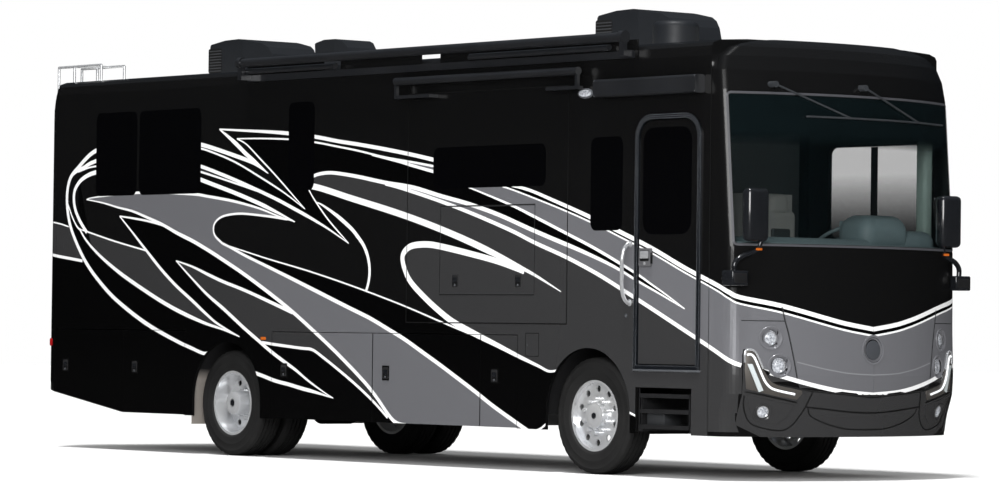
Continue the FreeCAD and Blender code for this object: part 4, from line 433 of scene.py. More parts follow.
# Fields of paint between the stripes, each laid over the ones before it. An outline follows
# the middle lines of the stripes round it, or runs off the panels past the floor line.
FLOOR_LINE = 0.25
LEAF_BELLY = part_of("leaf")[-36:]
FILLS = [
    ("deep black", [
        *part_of("tail under", -9.8, -7.6), (-7.71, 2.0), (-7.836, 2.2), *part_of("loop branch"),
        *part_of("spear thin", -7.65, -6.53), *part_of("spear over", -6.53, -6.967),
        *part_of("spear top", -6.94, -6.15), *part_of("silver under", -6.14, -2.4), (-2.4, FLOOR_LINE),
        (-9.6, FLOOR_LINE),
    ]),
    ("charcoal", [
        *part_of("tail top", -9.8, -7.85),
        (-7.836, 2.157),
        (-7.71, 2.0),
        (-7.60, 1.821),
        *part_of("tail under", -7.6, -9.8),
    ]),
    ("charcoal", [
        *part_of("spear thin", -7.655, -6.53),
        *part_of("spear over", -6.5, -4.973),
        *part_of("spear under", -4.973, -7.66),
    ]),
    ("charcoal", [
        *part_of("blade top", -6.012, -4.157),
        *part_of("silver under", -4.15, -2.75),
        *part_of("silver companion", -2.75, -4.62),
        *part_of("blade under", -4.66, -6.012),
    ]),
    ("deep black", [
        *part_of("silver companion", -4.62, -2.75),
        (-2.75, FLOOR_LINE),
        (-4.8, FLOOR_LINE),
        *part_of("blade foot", -4.78, -3.53),
        *part_of("blade under", -3.53, -4.66),
    ]),
    ("silver", [
        *part_of("silver top", -7.542, -4.26),
        *part_of("oval top"),
        *part_of("silver over"),
        (-0.62, FLOOR_LINE),
        (-2.5, FLOOR_LINE),
        *part_of("silver under", -2.5, -7.542),
    ]),
    ("deep black", [*part_of("fan low", -5.68, -4.14), *part_of("silver top", -4.14, -5.68)]),
    ("charcoal", [*part_of("fan low thin", -5.68, -4.56), *part_of("fan middle", -4.6, -5.68)]),
    ("deep black", [*part_of("fan thin", -5.68, -3.986), *part_of("fan middle", -3.986, -5.68)]),
    ("deep black", [*part_of("outer loop", -7.34, -7.70), *part_of("loop second", -7.70, -7.34)]),
    ("deep black", [
        *part_of("oval thin", -5.15, -1.53),
        *LEAF_BELLY,
        (-0.40, FLOOR_LINE),
        (-0.62, FLOOR_LINE),
        *part_of("silver over", -0.62, -5.27),
    ]),
    ("charcoal", [
        *part_of("band under", -2.80, 3.0837),
        (3.0837, FLOOR_LINE),
        (-0.40, FLOOR_LINE),
        *part_of("leaf")[::-1],
        *part_of("band foot", -0.9, -2.80),
    ]),
    ("charcoal", [*part_of("band top", -3.90, -2.79), *part_of("band foot", -2.79, -3.90)]),
    ("silver", [
        *part_of("rise thin", -1.16, 3.0837),
        *part_of("band under", 3.0837, -2.80),
        (-2.80, 2.49),
        (-1.62, 2.44),
    ]),
    ("deep black", [
        *part_of("crest thin", -5.057, -3.0), *part_of("crest low", -2.98, -2.05), (-1.62, 2.44),
        *part_of("rise under", -1.62, 1.207), *part_of("band top", 1.207, -3.90), (-3.94, 2.46),
        *part_of("sliver edge", -3.94, -3.321), *part_of("fan middle", -3.321, -4.0),
        *part_of("barb thin", -3.986, -5.057),
    ]),
    ("silver", [
        *part_of("crest thin", -2.8, -2.05),
        (-2.05, 2.565),
        *part_of("crest low", -2.05, -2.8),
    ]),
    ("deep black", [*part_of("rise top", -1.06, 3.0837), *part_of("rise thin", 3.0837, -1.16)]),
    ("deep black", [(0.49, 0.53), (0.62, 0.50), (0.62, FLOOR_LINE), (0.53, FLOOR_LINE)]),
]
ART = [(paint, [Vector(point) for point in outline]) for paint, outline in FILLS]
OPENINGS = []
for start, middle, end, points in STRIPES.values():
    edges = ribbon(start, middle, end, points)
    for (a, b), (c, d) in zip(edges, edges[1:]):
        ART.append(("white", [b, d, c, a]))


def signed_area(points):
    return sum(a.x * b.y - b.x * a.y for a, b in zip(points, points[1:] + points[:1])) / 2


def paint_faces(panel_faces, spare=()):
    """Cut flat faces along the art. Returns the points, the cut faces and each one's paint."""
    points = [*spare]
    faces = []
    for face in panel_faces:
        faces.append(list(range(len(points), len(points) + len(face))))
        points.extend(face)
    low = Vector((min(point.x for point in points), min(point.y for point in points)))
    high = Vector((max(point.x for point in points), max(point.y for point in points)))
    paints = []
    for paint, outline in ART + OPENINGS:
        if max(point.x for point in outline) < low.x or min(point.x for point in outline) > high.x:
            continue
        if max(point.y for point in outline) < low.y or min(point.y for point in outline) > high.y:
            continue
        if signed_area(outline) < 0:
            outline = outline[::-1]
        faces.append(list(range(len(points), len(points) + len(outline))))
        points.extend(outline)
        paints.append(paint)
    cut_points, _, cut_faces, _, _, origins = delaunay_2d_cdt(points, [], faces, 1, 1e-5)
    kept = []
    first_art = len(panel_faces)
    for face, origin in zip(cut_faces, origins):
        if min(origin, default=first_art) >= first_art:
            continue
        top = max(origin)
        paint = paints[top - first_art] if top >= first_art else "black"
        if paint != "open":
            kept.append((face, paint))
    return cut_points, kept


def painted_mesh(name, body, spots, faces):
    """Build a film from its points in space and its painted faces, and let it ride on a body."""
    names = list(PAINTS)
    bm = bmesh.new()
    corners = [bm.verts.new(spot) if spot else None for spot in spots]
    for face, paint in faces:
        chosen = [corners[index] for index in face]
        if None not in chosen:
            bm.faces.new(chosen).material_index = names.index(paint)
    bmesh.ops.delete(bm, geom=[corner for corner in bm.verts if not corner.link_faces], context="VERTS")
    data = bpy.data.meshes.new(name)
    bm.to_mesh(data)
    bm.free()
    for paint in names:
        data.materials.append(PAINTS[paint])
    piece = bpy.data.objects.new(name, data)
    bpy.context.scene.collection.objects.link(piece)
    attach(piece, body)
    return piece


FACE_TOLERANCE = 0.0005


def film(node, body):
    """The painted face of a flat panel, cut into its colours along the stripes."""
    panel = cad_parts[node]
    side = -1 if sum(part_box(node)[end][1] for end in (0, 1)) < 0 else 1
    mesh = panel.data
    outer = []
    for face in mesh.polygons:
        corners = [mesh.vertices[index].co for index in face.vertices]
        if all(abs(corner.y - side * side_face) < FACE_TOLERANCE for corner in corners):
            flat = [Vector((corner.x - axle_x, corner.z)) for corner in corners]
            if signed_area(flat) < 0:
                flat.reverse()
            outer.append(flat)
    points, faces = paint_faces(outer)
    spots = [(point.x + axle_x, side * (side_face + paint_film), point.y) for point in points]
    if side > 0:
        faces = [(face[::-1], paint) for face, paint in faces]
    return painted_mesh(f"{node}_paint", body, spots, faces)


coat(PAINTS["black"], *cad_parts)
for side in ("right", "left"):
    film(f"side_wall_{side}", "coach")
    film(f"skirt_{side}", "coach")
for number in range(1, 6):
    film(f"bay_door_right_{number}", f"bay_door_right_{number}")
for number in range(1, 4):
    film(f"bay_door_left_{number}", f"bay_door_left_{number}")
film("slide_out", "slide_out")
film("entry_door", "entry_door")

# Front and rear caps: moulded shells in the same paint. The stripes run round the corners, so
# their points go on along the face: a place past the corner is a distance along the surface.
# Each cap has its end, the radius of its face in plan, that of its corners, and its way.
cap_paint_film = 0.0026
nose_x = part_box("front_cap")[1][0]
tail_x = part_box("rear_cap")[0][0]
NOSE = (nose_x, 2.57, 0.14, 1)
TAIL = (tail_x, 16.0, 0.08, -1)
nose_seam = 1.5015
nose_middle = 3.0832
tail_seam = -8.0605
tail_middle = -9.434


def cap_plan(cap):
    """Where a cap's corner meets its face: the turn, the corner's start, and its length."""
    end_x, plan_radius, corner, way = cap
    lean = math.asin((side_face - corner) / (plan_radius - corner))
    corner_x = end_x - way * (plan_radius - (plan_radius - corner) * math.cos(lean))
    return lean, corner_x, corner * (math.pi / 2 - lean)


def cap_spot(cap, along, side):
    """Where a distance along a cap's face lies in plan, and which way the face looks there."""
    end_x, plan_radius, corner, way = cap
    lean, corner_x, turn_length = cap_plan(cap)
    past = way * (along - (corner_x - axle_x))
    if past <= 0:
        return corner_x + way * past, side * side_face, 0.0, side
    if past <= turn_length:
        turn = math.pi / 2 - past / corner
        x = corner_x + way * corner * math.cos(turn)
        y = side * (side_face - corner + corner * math.sin(turn))
        return x, y, way * math.cos(turn), side * math.sin(turn)
    turn = lean - (past - turn_length) / plan_radius
    x = end_x - way * plan_radius * (1 - math.cos(turn))
    return x, side * plan_radius * math.sin(turn), way * math.cos(turn), side * math.sin(turn)


def along_nose(beside):
    """The distance along the nose of a place beside its middle."""
    plan_radius = NOSE[1]
    lean, corner_x, turn_length = cap_plan(NOSE)
    face_edge = 1.2
    start = corner_x - axle_x + turn_length
    return start + plan_radius * (lean - math.asin(min(beside, face_edge) / plan_radius))


def oval(a, b, half_a, half_b, steps):
    """The outline of a circle or an oval round a place."""
    turns = [math.tau * step / steps for step in range(steps)]
    return [(a + half_a * math.cos(turn), b + half_b * math.sin(turn)) for turn in turns]


LAMPS = (("upper", 0.97, 1.16), ("lower", 0.90, 0.938))
lamp_opening = 0.093
badge_level = 1.072
badge_opening = 0.103
BUMPER_OPENING = (
    (0.0, 0.684), (0.64, 0.736), (0.965, 0.80), (1.185, 1.066), (1.185, 0.455), (0.965, 0.352),
    (0.0, 0.352),
)
ENGINE_OPENING = ((-9.6, 0.60), (-8.72, 0.60), (-8.72, 1.37), (-9.6, 1.37))
cut_outs = [[(along_nose(beside), level) for beside, level in BUMPER_OPENING]]
for _, beside, level in LAMPS:
    cut_outs.append(oval(along_nose(beside), level, lamp_opening, lamp_opening, 32))
cut_outs.append(oval(along_nose(0.0), badge_level, badge_opening, badge_opening, 32))
for outline in cut_outs:
    OPENINGS.append(("open", [Vector(point) for point in outline]))

skin_reach = 0.2
skin_depth = 0.12
FILM_COLUMNS = 60
FILM_ROWS = 30


def cap_film(node, cap, start, stop, low, high, side):
    """The painted face of a curved cap between two distances along it and two levels."""
    skin = BVHTree.FromObject(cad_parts[node], bpy.context.evaluated_depsgraph_get())
    spare = []
    for column in range(FILM_COLUMNS + 1):
        for row in range(FILM_ROWS + 1):
            along = start + (stop - start) * column / FILM_COLUMNS
            spare.append(Vector((along, low + (high - low) * row / FILM_ROWS)))
    frame_face = [Vector(corner) for corner in ((start, low), (stop, low), (stop, high), (start, high))]
    points, faces = paint_faces([frame_face], spare)
    spots = []
    for point in points:
        x, y, out_x, out_y = cap_spot(cap, point.x, side)
        out = Vector((out_x, out_y, 0.0))
        outside = Vector((x, y, point.y)) + out * skin_reach
        hit, _, _, distance = skin.ray_cast(outside, -out)
        proud = cap_paint_film * min(1.0, 0.4 + abs(y))
        spots.append(hit + out * proud if hit and distance < skin_reach + skin_depth else None)
    if side * cap[3] > 0:
        faces = [(face[::-1], paint) for face, paint in faces]
    return painted_mesh(f"{node}_paint_{'left' if side > 0 else 'right'}", "coach", spots, faces)


OPENINGS.append(("open", [Vector(corner) for corner in ENGINE_OPENING]))
for side, _ in SIDES:
    cap_film("front_cap", NOSE, nose_seam, nose_middle, 0.345, 1.895, side)
    cap_film("rear_cap", TAIL, tail_middle, tail_seam, 0.545, 3.50, side)

# Front lamps: two round lamps in moulded rings each side, and a fog lamp in each bumper pod.
# Each is a faceted clear lens in a chromed rim. The rings follow the curve of the nose, over
# the recesses of the cap.
nose_margin = 0.0006
face_skins = [
    BVHTree.FromObject(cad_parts[node], bpy.context.evaluated_depsgraph_get())
    for node in ("front_cap", "front_bumper")
]


def on_nose(side):
    """Places on the nose: beside the middle, level and how far proud of the face."""

    def spot(beside, level, proud):
        x, y, out_x, out_y = cap_spot(NOSE, along_nose(abs(beside)), side if beside >= 0 else -side)
        out = Vector((out_x, out_y, 0.0))
        start = Vector((x, y, level)) + out * skin_reach
        hits = [skin.ray_cast(start, -out, 2 * skin_reach) for skin in face_skins]
        reached = [hit[3] for hit in hits if hit[0]]
        place = start - out * (min(reached) if reached else skin_reach + 0.02) + out * proud
        place.x = min(place.x, nose_x + nose_margin)
        return place

    return spot


def nose_seat(beside, level, reach, side):
    """The middle of a round seat, read from the face round it, and the way it looks."""
    spot = on_nose(side)
    ring_spots = [
        spot(beside + reach * a, level + reach * b, 0.0) for a, b in ((1, 0), (-1, 0), (0, 1), (0, -1))
    ]
    middle = sum(ring_spots, Vector()) / 4
    out = (ring_spots[0] - ring_spots[1]).cross(ring_spots[2] - ring_spots[3]).normalized()
    return middle, out if out.x > 0 else -out


def shape(name, bm, finish, body, soft=35):
    """Turn a bmesh into a piece with one finish that rides on a body."""
    bmesh.ops.recalc_face_normals(bm, faces=bm.faces)
    data = bpy.data.meshes.new(name)
    bm.to_mesh(data)
    bm.free()
    data.materials.append(finish)
    data.shade_smooth()
    data.set_sharp_from_angle(angle=math.radians(soft))
    piece = bpy.data.objects.new(name, data)
    bpy.context.scene.collection.objects.link(piece)
    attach(piece, body)
    return piece


RING_STEPS = 40


def cup(name, beside, level, side, profile):
    """A moulded ring that follows the curved nose, given as radius and height over the face."""
    spot = on_nose(side)
    bm = bmesh.new()
    rows = []
    for radius, proud in profile:
        row = []
        for step in range(RING_STEPS):
            turn = math.tau * step / RING_STEPS
            place = spot(beside + radius * math.cos(turn), level + radius * math.sin(turn), proud)
            row.append(bm.verts.new(place))
        rows.append(row)
    for first, second in zip(rows, rows[1:]):
        for step in range(RING_STEPS):
            after = (step + 1) % RING_STEPS
            bm.faces.new((first[step], first[after], second[after], second[step]))
    return shape(name, bm, PAINTS["silver"], "coach")


def lathe(name, profile, centre, axis, finish, body, steps=48, relief=None):
    """Turn a profile, given as distance along the axis and radius, about an axis."""
    axis = Vector(axis).normalized()
    beside = axis.orthogonal().normalized()
    above = axis.cross(beside)
    bm = bmesh.new()
    rows = []
    for index, (along, radius) in enumerate(profile):
        if radius < 1e-6:
            rows.append([bm.verts.new(Vector(centre) + axis * along)] * steps)
            continue
        row = []
        for step in range(steps):
            turn = math.tau * step / steps
            reach = radius - (relief(index, step) if relief else 0.0)
            out = beside * math.cos(turn) + above * math.sin(turn)
            row.append(bm.verts.new(Vector(centre) + axis * along + out * reach))
        rows.append(row)
    for first, second in zip(rows, rows[1:]):
        for step in range(steps):
            after = (step + 1) % steps
            corners = []
            for corner in (first[step], first[after], second[after], second[step]):
                if corner not in corners:
                    corners.append(corner)
            if len(corners) > 2:
                bm.faces.new(corners)
    return shape(name, bm, finish, body)


def metal(name, color, roughness, metallic=1.0):
    """Polished or rolled metal, a little dulled in patches."""
    finish = Finish(name, color, roughness, Metallic=metallic)
    finish.set("Roughness", roughness * 0.8 + finish.noise(20.0) * roughness * 0.4)
    finish.bump(finish.noise(90.0), 0.02, 0.001)
    return finish.material


chrome = metal("chrome", (0.82, 0.83, 0.85), 0.08, 0.7)
lens = Finish("lamp lens", (0.60, 0.62, 0.65), 0.08, Coat_Weight=0.8)
facets_and_glints = lens.node("ShaderNodeTexVoronoi", {}, {"Vector": lens.place(), "Scale": 60.0}, "Distance")
# The facets are moulded; their tint from dark to pale is painted glint and shade on them.
lens.tint(facets_and_glints, (0.10, 0.11, 0.13), (0.66, 0.68, 0.72))
lens.bump(facets_and_glints, 0.5, 0.004)
coat(lens.material, "front_lamps")
LAMP_SEAT = (
    (0.099, -0.003), (0.097, 0.005), (0.093, 0.0085), (0.088, 0.0085), (0.082, 0.006), (0.072, 0.003),
    (0.061, 0.0018), (0.051, 0.0016),
)
LAMP_LENS = ((0.001, 0.045), (0.005, 0.044), (0.009, 0.037), (0.011, 0.024), (0.0115, 0.0))
LAMP_RIM = ((0.000, 0.0535), (0.006, 0.0525), (0.0085, 0.049), (0.004, 0.044))
FOG_LAMP = (1.015, 0.563)
FOG_SEAT = (
    (0.000, 0.040), (0.001, 0.047), (0.001, 0.056), (0.006, 0.064), (0.009, 0.070), (0.007, 0.075),
    (-0.006, 0.079),
)
FOG_LENS = ((0.000, 0.043), (0.005, 0.042), (0.010, 0.034), (0.013, 0.018), (0.014, 0.0))
FOG_RIM = ((0.000, 0.050), (0.005, 0.049), (0.006, 0.045), (0.003, 0.041))
for side, word in SIDES:
    for label, beside, level in LAMPS:
        seat, out = nose_seat(beside, level, 0.062, side)
        cup(f"{label}_seat_{word}", beside, level, side, LAMP_SEAT)
        lathe(f"{label}_lens_{word}", LAMP_LENS, seat, out, lens.material, "coach", 32)
        lathe(f"{label}_rim_{word}", LAMP_RIM, seat, out, chrome, "coach", 32)
    seat, out = nose_seat(*FOG_LAMP, 0.078, side)
    lathe(f"fog_seat_{word}", FOG_SEAT, seat, out, PAINTS["charcoal"], "coach", 40)
    lathe(f"fog_lens_{word}", FOG_LENS, seat, out, lens.material, "coach", 32)
    lathe(f"fog_rim_{word}", FOG_RIM, seat, out, chrome, "coach", 32)

# Bumper pods: a bronze-grey insert with a lit bar and a ribbed side lamp, set in a moulded
# pod with a groove under it, all in the charcoal of the bumper. The points were read from the
# photo: beside the middle, then level. Thin near-black lines are painted shadow in the gaps
# between the mouldings and in the grooves; thin lighter lines are painted highlights on edges.
coat(PAINTS["charcoal"], "front_bumper")


def lacquer(name, color, roughness, **sockets):
    """A smooth moulded or coated surface with a little unevenness in its sheen."""
    finish = Finish(name, color, roughness, **sockets)
    finish.tint(finish.noise(14.0) * 0.5, color, tuple(channel * 0.7 for channel in color))
    finish.set("Roughness", roughness * 0.85 + finish.noise(30.0) * roughness * 0.3)
    return finish.material


def tube(name, path, radius, finish, body, rounds=12, smooth=5, flat=1.0):
    """A round or flattened bar swept along a smooth path."""
    line = catmull(path, smooth)
    bm = bmesh.new()
    rings = []
    beside = None
    for index, point in enumerate(line):
        ahead = (line[min(index + 1, len(line) - 1)] - line[max(index - 1, 0)]).normalized()
        if beside is None:
            beside = ahead.orthogonal().normalized()
        else:
            beside = (beside - ahead * beside.dot(ahead)).normalized()
        above = ahead.cross(beside)
        ring_points = []
        for step in range(rounds):
            turn = math.tau * step / rounds
            out = beside * math.cos(turn) * radius + above * math.sin(turn) * radius * flat
            ring_points.append(bm.verts.new(point + out))
        rings.append(ring_points)
    for first, second in zip(rings, rings[1:]):
        for step in range(rounds):
            after = (step + 1) % rounds
            bm.faces.new((first[step], first[after], second[after], second[step]))
    bm.faces.new(rings[0][::-1])
    bm.faces.new(rings[-1])
    return shape(name, bm, finish, body, 50)


def raised(name, outline, proud, spot, finish, body, holes=(), sunk=-0.002, chamfer=0.002, pitch=None):
    """A plate with this outline that stands proud of a face, with a small chamfer round its rim."""
    loops = [[Vector(point) for point in loop] for loop in (outline, *holes)]
    loops = [loop if signed_area(loop) > 0 else loop[::-1] for loop in loops]
    points = [point for loop in loops for point in loop]
    faces = []
    for loop in loops:
        first = sum(len(face) for face in faces)
        faces.append(list(range(first, first + len(loop))))
    if pitch:
        a_low, a_high = min(point.x for point in points), max(point.x for point in points)
        b_low, b_high = min(point.y for point in points), max(point.y for point in points)
        for a in range(1, int((a_high - a_low) / pitch)):
            for b in range(1, int((b_high - b_low) / pitch)):
                points.append(Vector((a_low + a * pitch, b_low + b * pitch)))
    cut_points, _, cut_faces, _, _, origins = delaunay_2d_cdt(points, [], faces, 1, 1e-6)
    bm = bmesh.new()
    tops = [bm.verts.new(spot(point.x, point.y, proud)) for point in cut_points]
    for face, origin in zip(cut_faces, origins):
        if list(origin) == [0]:
            bm.faces.new([tops[index] for index in face])
    for loop in loops:
        for start, stop in zip(loop, loop[1:] + loop[:1]):
            corners = [(start, proud), (stop, proud), (stop, sunk), (start, sunk)]
            bm.faces.new([bm.verts.new(spot(point.x, point.y, level)) for point, level in corners])
    bmesh.ops.delete(bm, geom=[corner for corner in bm.verts if not corner.link_faces], context="VERTS")
    bmesh.ops.remove_doubles(bm, verts=bm.verts, dist=1e-5)
    bmesh.ops.recalc_face_normals(bm, faces=bm.faces)
    if chamfer:
        rims = [edge for edge in bm.edges if len(edge.link_faces) == 2 and edge.calc_face_angle() > 1.0]
        bmesh.ops.bevel(bm, geom=rims, offset=chamfer, segments=2, profile=0.5, affect="EDGES")
    return shape(name, bm, finish, body)


def strip(name, path, width, proud, spot, finish, body, smooth=1):
    """A thin flat strip along a path on a face: painted shadow in a seam, or a painted highlight."""
    line = catmull(path, smooth) if smooth > 1 else [Vector(point) for point in path]
    bm = bmesh.new()
    pairs = []
    for index, point in enumerate(line):
        ahead = line[min(index + 1, len(line) - 1)] - line[max(index - 1, 0)]
        if path[0] == path[-1] and index in (0, len(line) - 1):
            ahead = line[1] - line[-2]
        across = Vector((-ahead.y, ahead.x)).normalized() * width / 2
        pairs.append([bm.verts.new(spot(*(point + across * way), proud)) for way in (1, -1)])
    for (a, b), (c, d) in zip(pairs, pairs[1:]):
        bm.faces.new((a, b, d, c))
    return shape(name, bm, finish, body)


insert_paint = metal("bronze grey insert", (0.115, 0.105, 0.095), 0.42, 0.5)
light_bar = Finish(
    "lit bar", (0.85, 0.88, 0.9), 0.2, Emission_Color=(1.0, 1.0, 1.0, 1.0), Emission_Strength=0.25
)
ribbed = Finish("ribbed lens", (0.72, 0.78, 0.78), 0.12, Coat_Weight=0.6)
ribs_and_rib_shading = ribbed.ribs("Z", 42.0)
# The ribs are moulded; their tint from dark to pale is painted shade and highlight on each rib.
ribbed.tint(ribs_and_rib_shading, (0.28, 0.33, 0.34), (0.88, 0.92, 0.92))
ribbed.bump(ribs_and_rib_shading, 0.6, 0.004)
# Near-black strips and plates: painted shadow in gaps, grooves, seams and recesses.
painted_seam_shadow = lacquer("seam shadow", (0.002, 0.002, 0.002), 0.7)
# Thin lighter strips: painted highlights along the edges of seams and of the hatch.
painted_seam_highlight = lacquer("painted seam highlight", (0.050, 0.051, 0.054), 0.4)
# A pale strip along the nose crease: a painted highlight.
painted_crease_highlight = lacquer("painted crease highlight", (0.235, 0.238, 0.252), 0.35)
POD_INSERT = (
    (1.170, 1.050), (1.129, 1.066), (1.092, 1.046), (1.070, 1.005), (1.032, 0.913), (0.993, 0.838),
    (0.963, 0.803), (0.910, 0.778), (0.708, 0.737), (0.705, 0.712), (0.744, 0.662), (0.938, 0.694),
    (1.031, 0.717), (1.160, 0.748), (1.172, 0.90),
)
LIT_BAR = (
    (1.158, 1.022), (1.130, 1.026), (1.105, 1.005), (1.081, 0.953), (1.044, 0.861), (1.014, 0.802),
    (0.971, 0.758), (0.907, 0.735), (0.774, 0.708),
)
POD_BROW = ((1.172, 0.96), *POD_INSERT[:5])
SIDE_LAMP = ((1.155, 0.950), (1.118, 0.950), (1.030, 0.735), (1.066, 0.722))
POD_LINE = (
    (1.172, 0.69), (1.168, 0.60), (1.115, 0.478), (1.0, 0.43), (0.85, 0.412), (0.755, 0.458),
    (0.687, 0.548), (0.655, 0.615), (0.612, 0.728),
)
FOG_PANEL = (
    (1.151, 0.700), (0.755, 0.618), (0.815, 0.515), (0.898, 0.455), (1.073, 0.485), (1.120, 0.58)
)
FOG_HOLE = oval(*FOG_LAMP, 0.070, 0.070, 24)
TOP_GAP = [(0.965 - 0.0325 * step, 0.797 - 0.0064 * step) for step in range(10)]
TOP_GAP += [(0.64 - 0.032 * step, 0.733 - 0.0026 * step) for step in range(21)]
CORNER_SEAM = ((0.883, 1.41), (0.857, 1.30), (0.826, 1.186), (0.784, 0.99), (0.756, 0.835))
# The corner edge beside the seam is a painted highlight.
CORNER_HIGHLIGHT = [(beside - 0.007, level) for beside, level in CORNER_SEAM]
NOSE_LINES = (
    (
        "pod_groove",
        ((1.165, 0.724), (1.03, 0.699), (0.93, 0.678), (0.74, 0.640)),
        0.012,
        0.003,
        painted_seam_shadow,
        4,
    ),
    ("pod_seam", POD_LINE, 0.009, 0.003, painted_seam_shadow, 5),
    (
        "bumper_crease",
        ((0.655, 0.604), (0.45, 0.585), (0.202, 0.563), (0.0, 0.556)),
        0.010,
        0.0035,
        painted_seam_shadow,
        6,
    ),
    (
        "bumper_scoop",
        ((0.632, 0.592), (0.595, 0.531), (0.446, 0.470), (0.30, 0.437), (0.194, 0.423), (0.0, 0.418)),
        0.008,
        0.0035,
        painted_seam_shadow,
        6,
    ),
    ("bumper_top_gap", TOP_GAP, 0.007, 0.003, painted_seam_shadow, 1),
    ("corner_seam", CORNER_SEAM, 0.007, 0.0035, painted_seam_shadow, 4),
    ("corner_edge", CORNER_HIGHLIGHT, 0.004, 0.0035, painted_seam_highlight, 4),
    ("nose_seam", ((1.2, 1.298), (1.0, 1.298), (0.86, 1.298)), 0.006, 0.0035, painted_seam_shadow, 5),
    (
        "nose_crease",
        ((0.756, 0.968), (0.549, 0.922), (0.40, 0.897), (0.258, 0.879), (0.0, 0.868)),
        0.009,
        0.0035,
        painted_crease_highlight,
        6,
    ),
)
for side, word in SIDES:
    spot = on_nose(side)
    raised(f"pod_insert_{word}", POD_INSERT, 0.005, spot, insert_paint, "coach", pitch=0.04)
    brow = [spot(beside, level, 0.007) for beside, level in POD_BROW]
    tube(f"pod_brow_{word}", brow, 0.009, chrome, "coach", 8)
    bar = [spot(beside, level, 0.012) for beside, level in LIT_BAR]
    tube(f"lit_bar_{word}", bar, 0.0095, light_bar.material, "coach", 10)
    raised(
        f"side_lamp_{word}", SIDE_LAMP, 0.016, spot, ribbed.material, "coach", chamfer=0.004, pitch=0.03
    )
    raised(
        f"fog_panel_{word}",
        FOG_PANEL,
        0.005,
        spot,
        PAINTS["charcoal"],
        "coach",
        holes=[FOG_HOLE],
        pitch=0.04,
    )
    for label, line, width, proud, finish, smooth in NOSE_LINES:
        strip(f"{label}_{word}", line, width, proud, spot, finish, "coach", smooth)

# Round badge seat in the middle of the nose, left blank: a dished ring in the silver paint
# with a raised rim, and a plain grey disc in it.
BADGE_SEAT = (
    (-0.011, 0.0), (-0.011, 0.079), (-0.006, 0.092), (0.001, 0.104), (0.0045, 0.112), (0.0055, 0.118),
    (0.0035, 0.124), (-0.006, 0.128),
)
BLANK_BADGE = ((-0.011, 0.080), (-0.002, 0.079), (0.001, 0.075), (0.002, 0.068), (0.003, 0.0))
seat, out = nose_seat(0.0, badge_level, 0.115, -1)
lathe("badge_seat", BADGE_SEAT, seat, out, PAINTS["silver"], "coach", 48)
blank = lacquer("blank badge", (0.060, 0.064, 0.072), 0.2, Coat_Weight=0.5)
lathe("blank_badge", BLANK_BADGE, seat, out, blank, "coach", 48)

# Windscreen: one curved laminated pane, dark at the top, held by a grey rubber frame that
# follows its edge and laps over the glass, with a thin strip of painted shadow inside it.
screen = Finish("windscreen glass", (0.0030, 0.0055, 0.0062), 0.03, Specular_IOR_Level=0.5)
visor_foot, visor_top = 2.72, 2.84
clear_alpha, visor_alpha = 0.22, 0.97
screen.set("Alpha", screen.fade(screen.measure("Z"), visor_foot, visor_top, clear_alpha, visor_alpha))
coat(screen.material, "windscreen")
rubber_frame = lacquer("grey screen frame", (0.065, 0.066, 0.074), 0.35)


def rim_loops(node, looks):
    """The loops round the faces of a node that look a given way, each point with its normal."""
    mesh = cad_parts[node].data
    chosen = [face for face in mesh.polygons if looks(face)]
    uses = {}
    normals = {}
    for face in chosen:
        corners = [tuple(round(axis, 5) for axis in mesh.vertices[index].co) for index in face.vertices]
        for start, stop in zip(corners, corners[1:] + corners[:1]):
            uses.setdefault(frozenset((start, stop)), []).append((start, stop))
            normals[start] = normals.get(start, Vector()) + face.normal
    following = {}
    for edges in uses.values():
        if len(edges) == 1:
            following[edges[0][0]] = edges[0][1]
    loops = []
    while following:
        start = next(iter(following))
        loop = [start]
        while loop[-1] in following:
            loop.append(following.pop(loop[-1]))
        loops.append([(Vector(point), normals[point].normalized()) for point in loop])
    return loops


def edging(name, loop, inset, width, proud, finish, body):
    """A flat band that follows a loop on a face, a little inside it."""
    bm = bmesh.new()
    pairs = []
    points = loop[:-1]
    for index, (point, normal) in enumerate(points):
        ahead = (points[(index + 1) % len(points)][0] - points[index - 1][0]).normalized()
        inward = normal.cross(ahead).normalized()
        edge = point + normal * proud
        pairs.append([bm.verts.new(edge + inward * reach) for reach in (inset, inset + width)])
    for (a, b), (c, d) in zip(pairs, pairs[1:] + pairs[:1]):
        bm.faces.new((a, b, d, c))
    return shape(name, bm, finish, body)


def looks_out_of_nose(face):
    """Tell the outer faces of the windscreen, seen from well behind it, from the others."""
    from_behind = Vector((face.center.x - (axle_x - 0.6), face.center.y, 0.0))
    return face.normal.dot(from_behind.normalized()) > 0.75


screen_edge = max(rim_loops("windscreen", looks_out_of_nose), key=len)
edging("screen_frame", screen_edge, -0.004, 0.019, 0.004, rubber_frame, "coach")
edging("screen_frame_shadow", screen_edge, 0.015, 0.004, 0.005, painted_seam_shadow, "coach")

# Wipers and mirrors: black wiper arms from pivots over the glass, and moulded gloss black
# mirror heads on bent tube arms, each bolted to a block on the corner of the nose. An amber
# marker sits on each arm.
coat(lacquer("wiper black", (0.034, 0.037, 0.041), 0.3, Coat_Weight=0.3), "wipers")
trim = lacquer("black trim", (0.012, 0.012, 0.013), 0.42)
gloss_trim = lacquer("gloss black trim", (0.010, 0.011, 0.013), 0.16, Coat_Weight=0.5)
mirror_glass = metal("mirror glass", (0.85, 0.87, 0.90), 0.03)
amber = lacquer("amber lens", (0.55, 0.12, 0.01), 0.2)


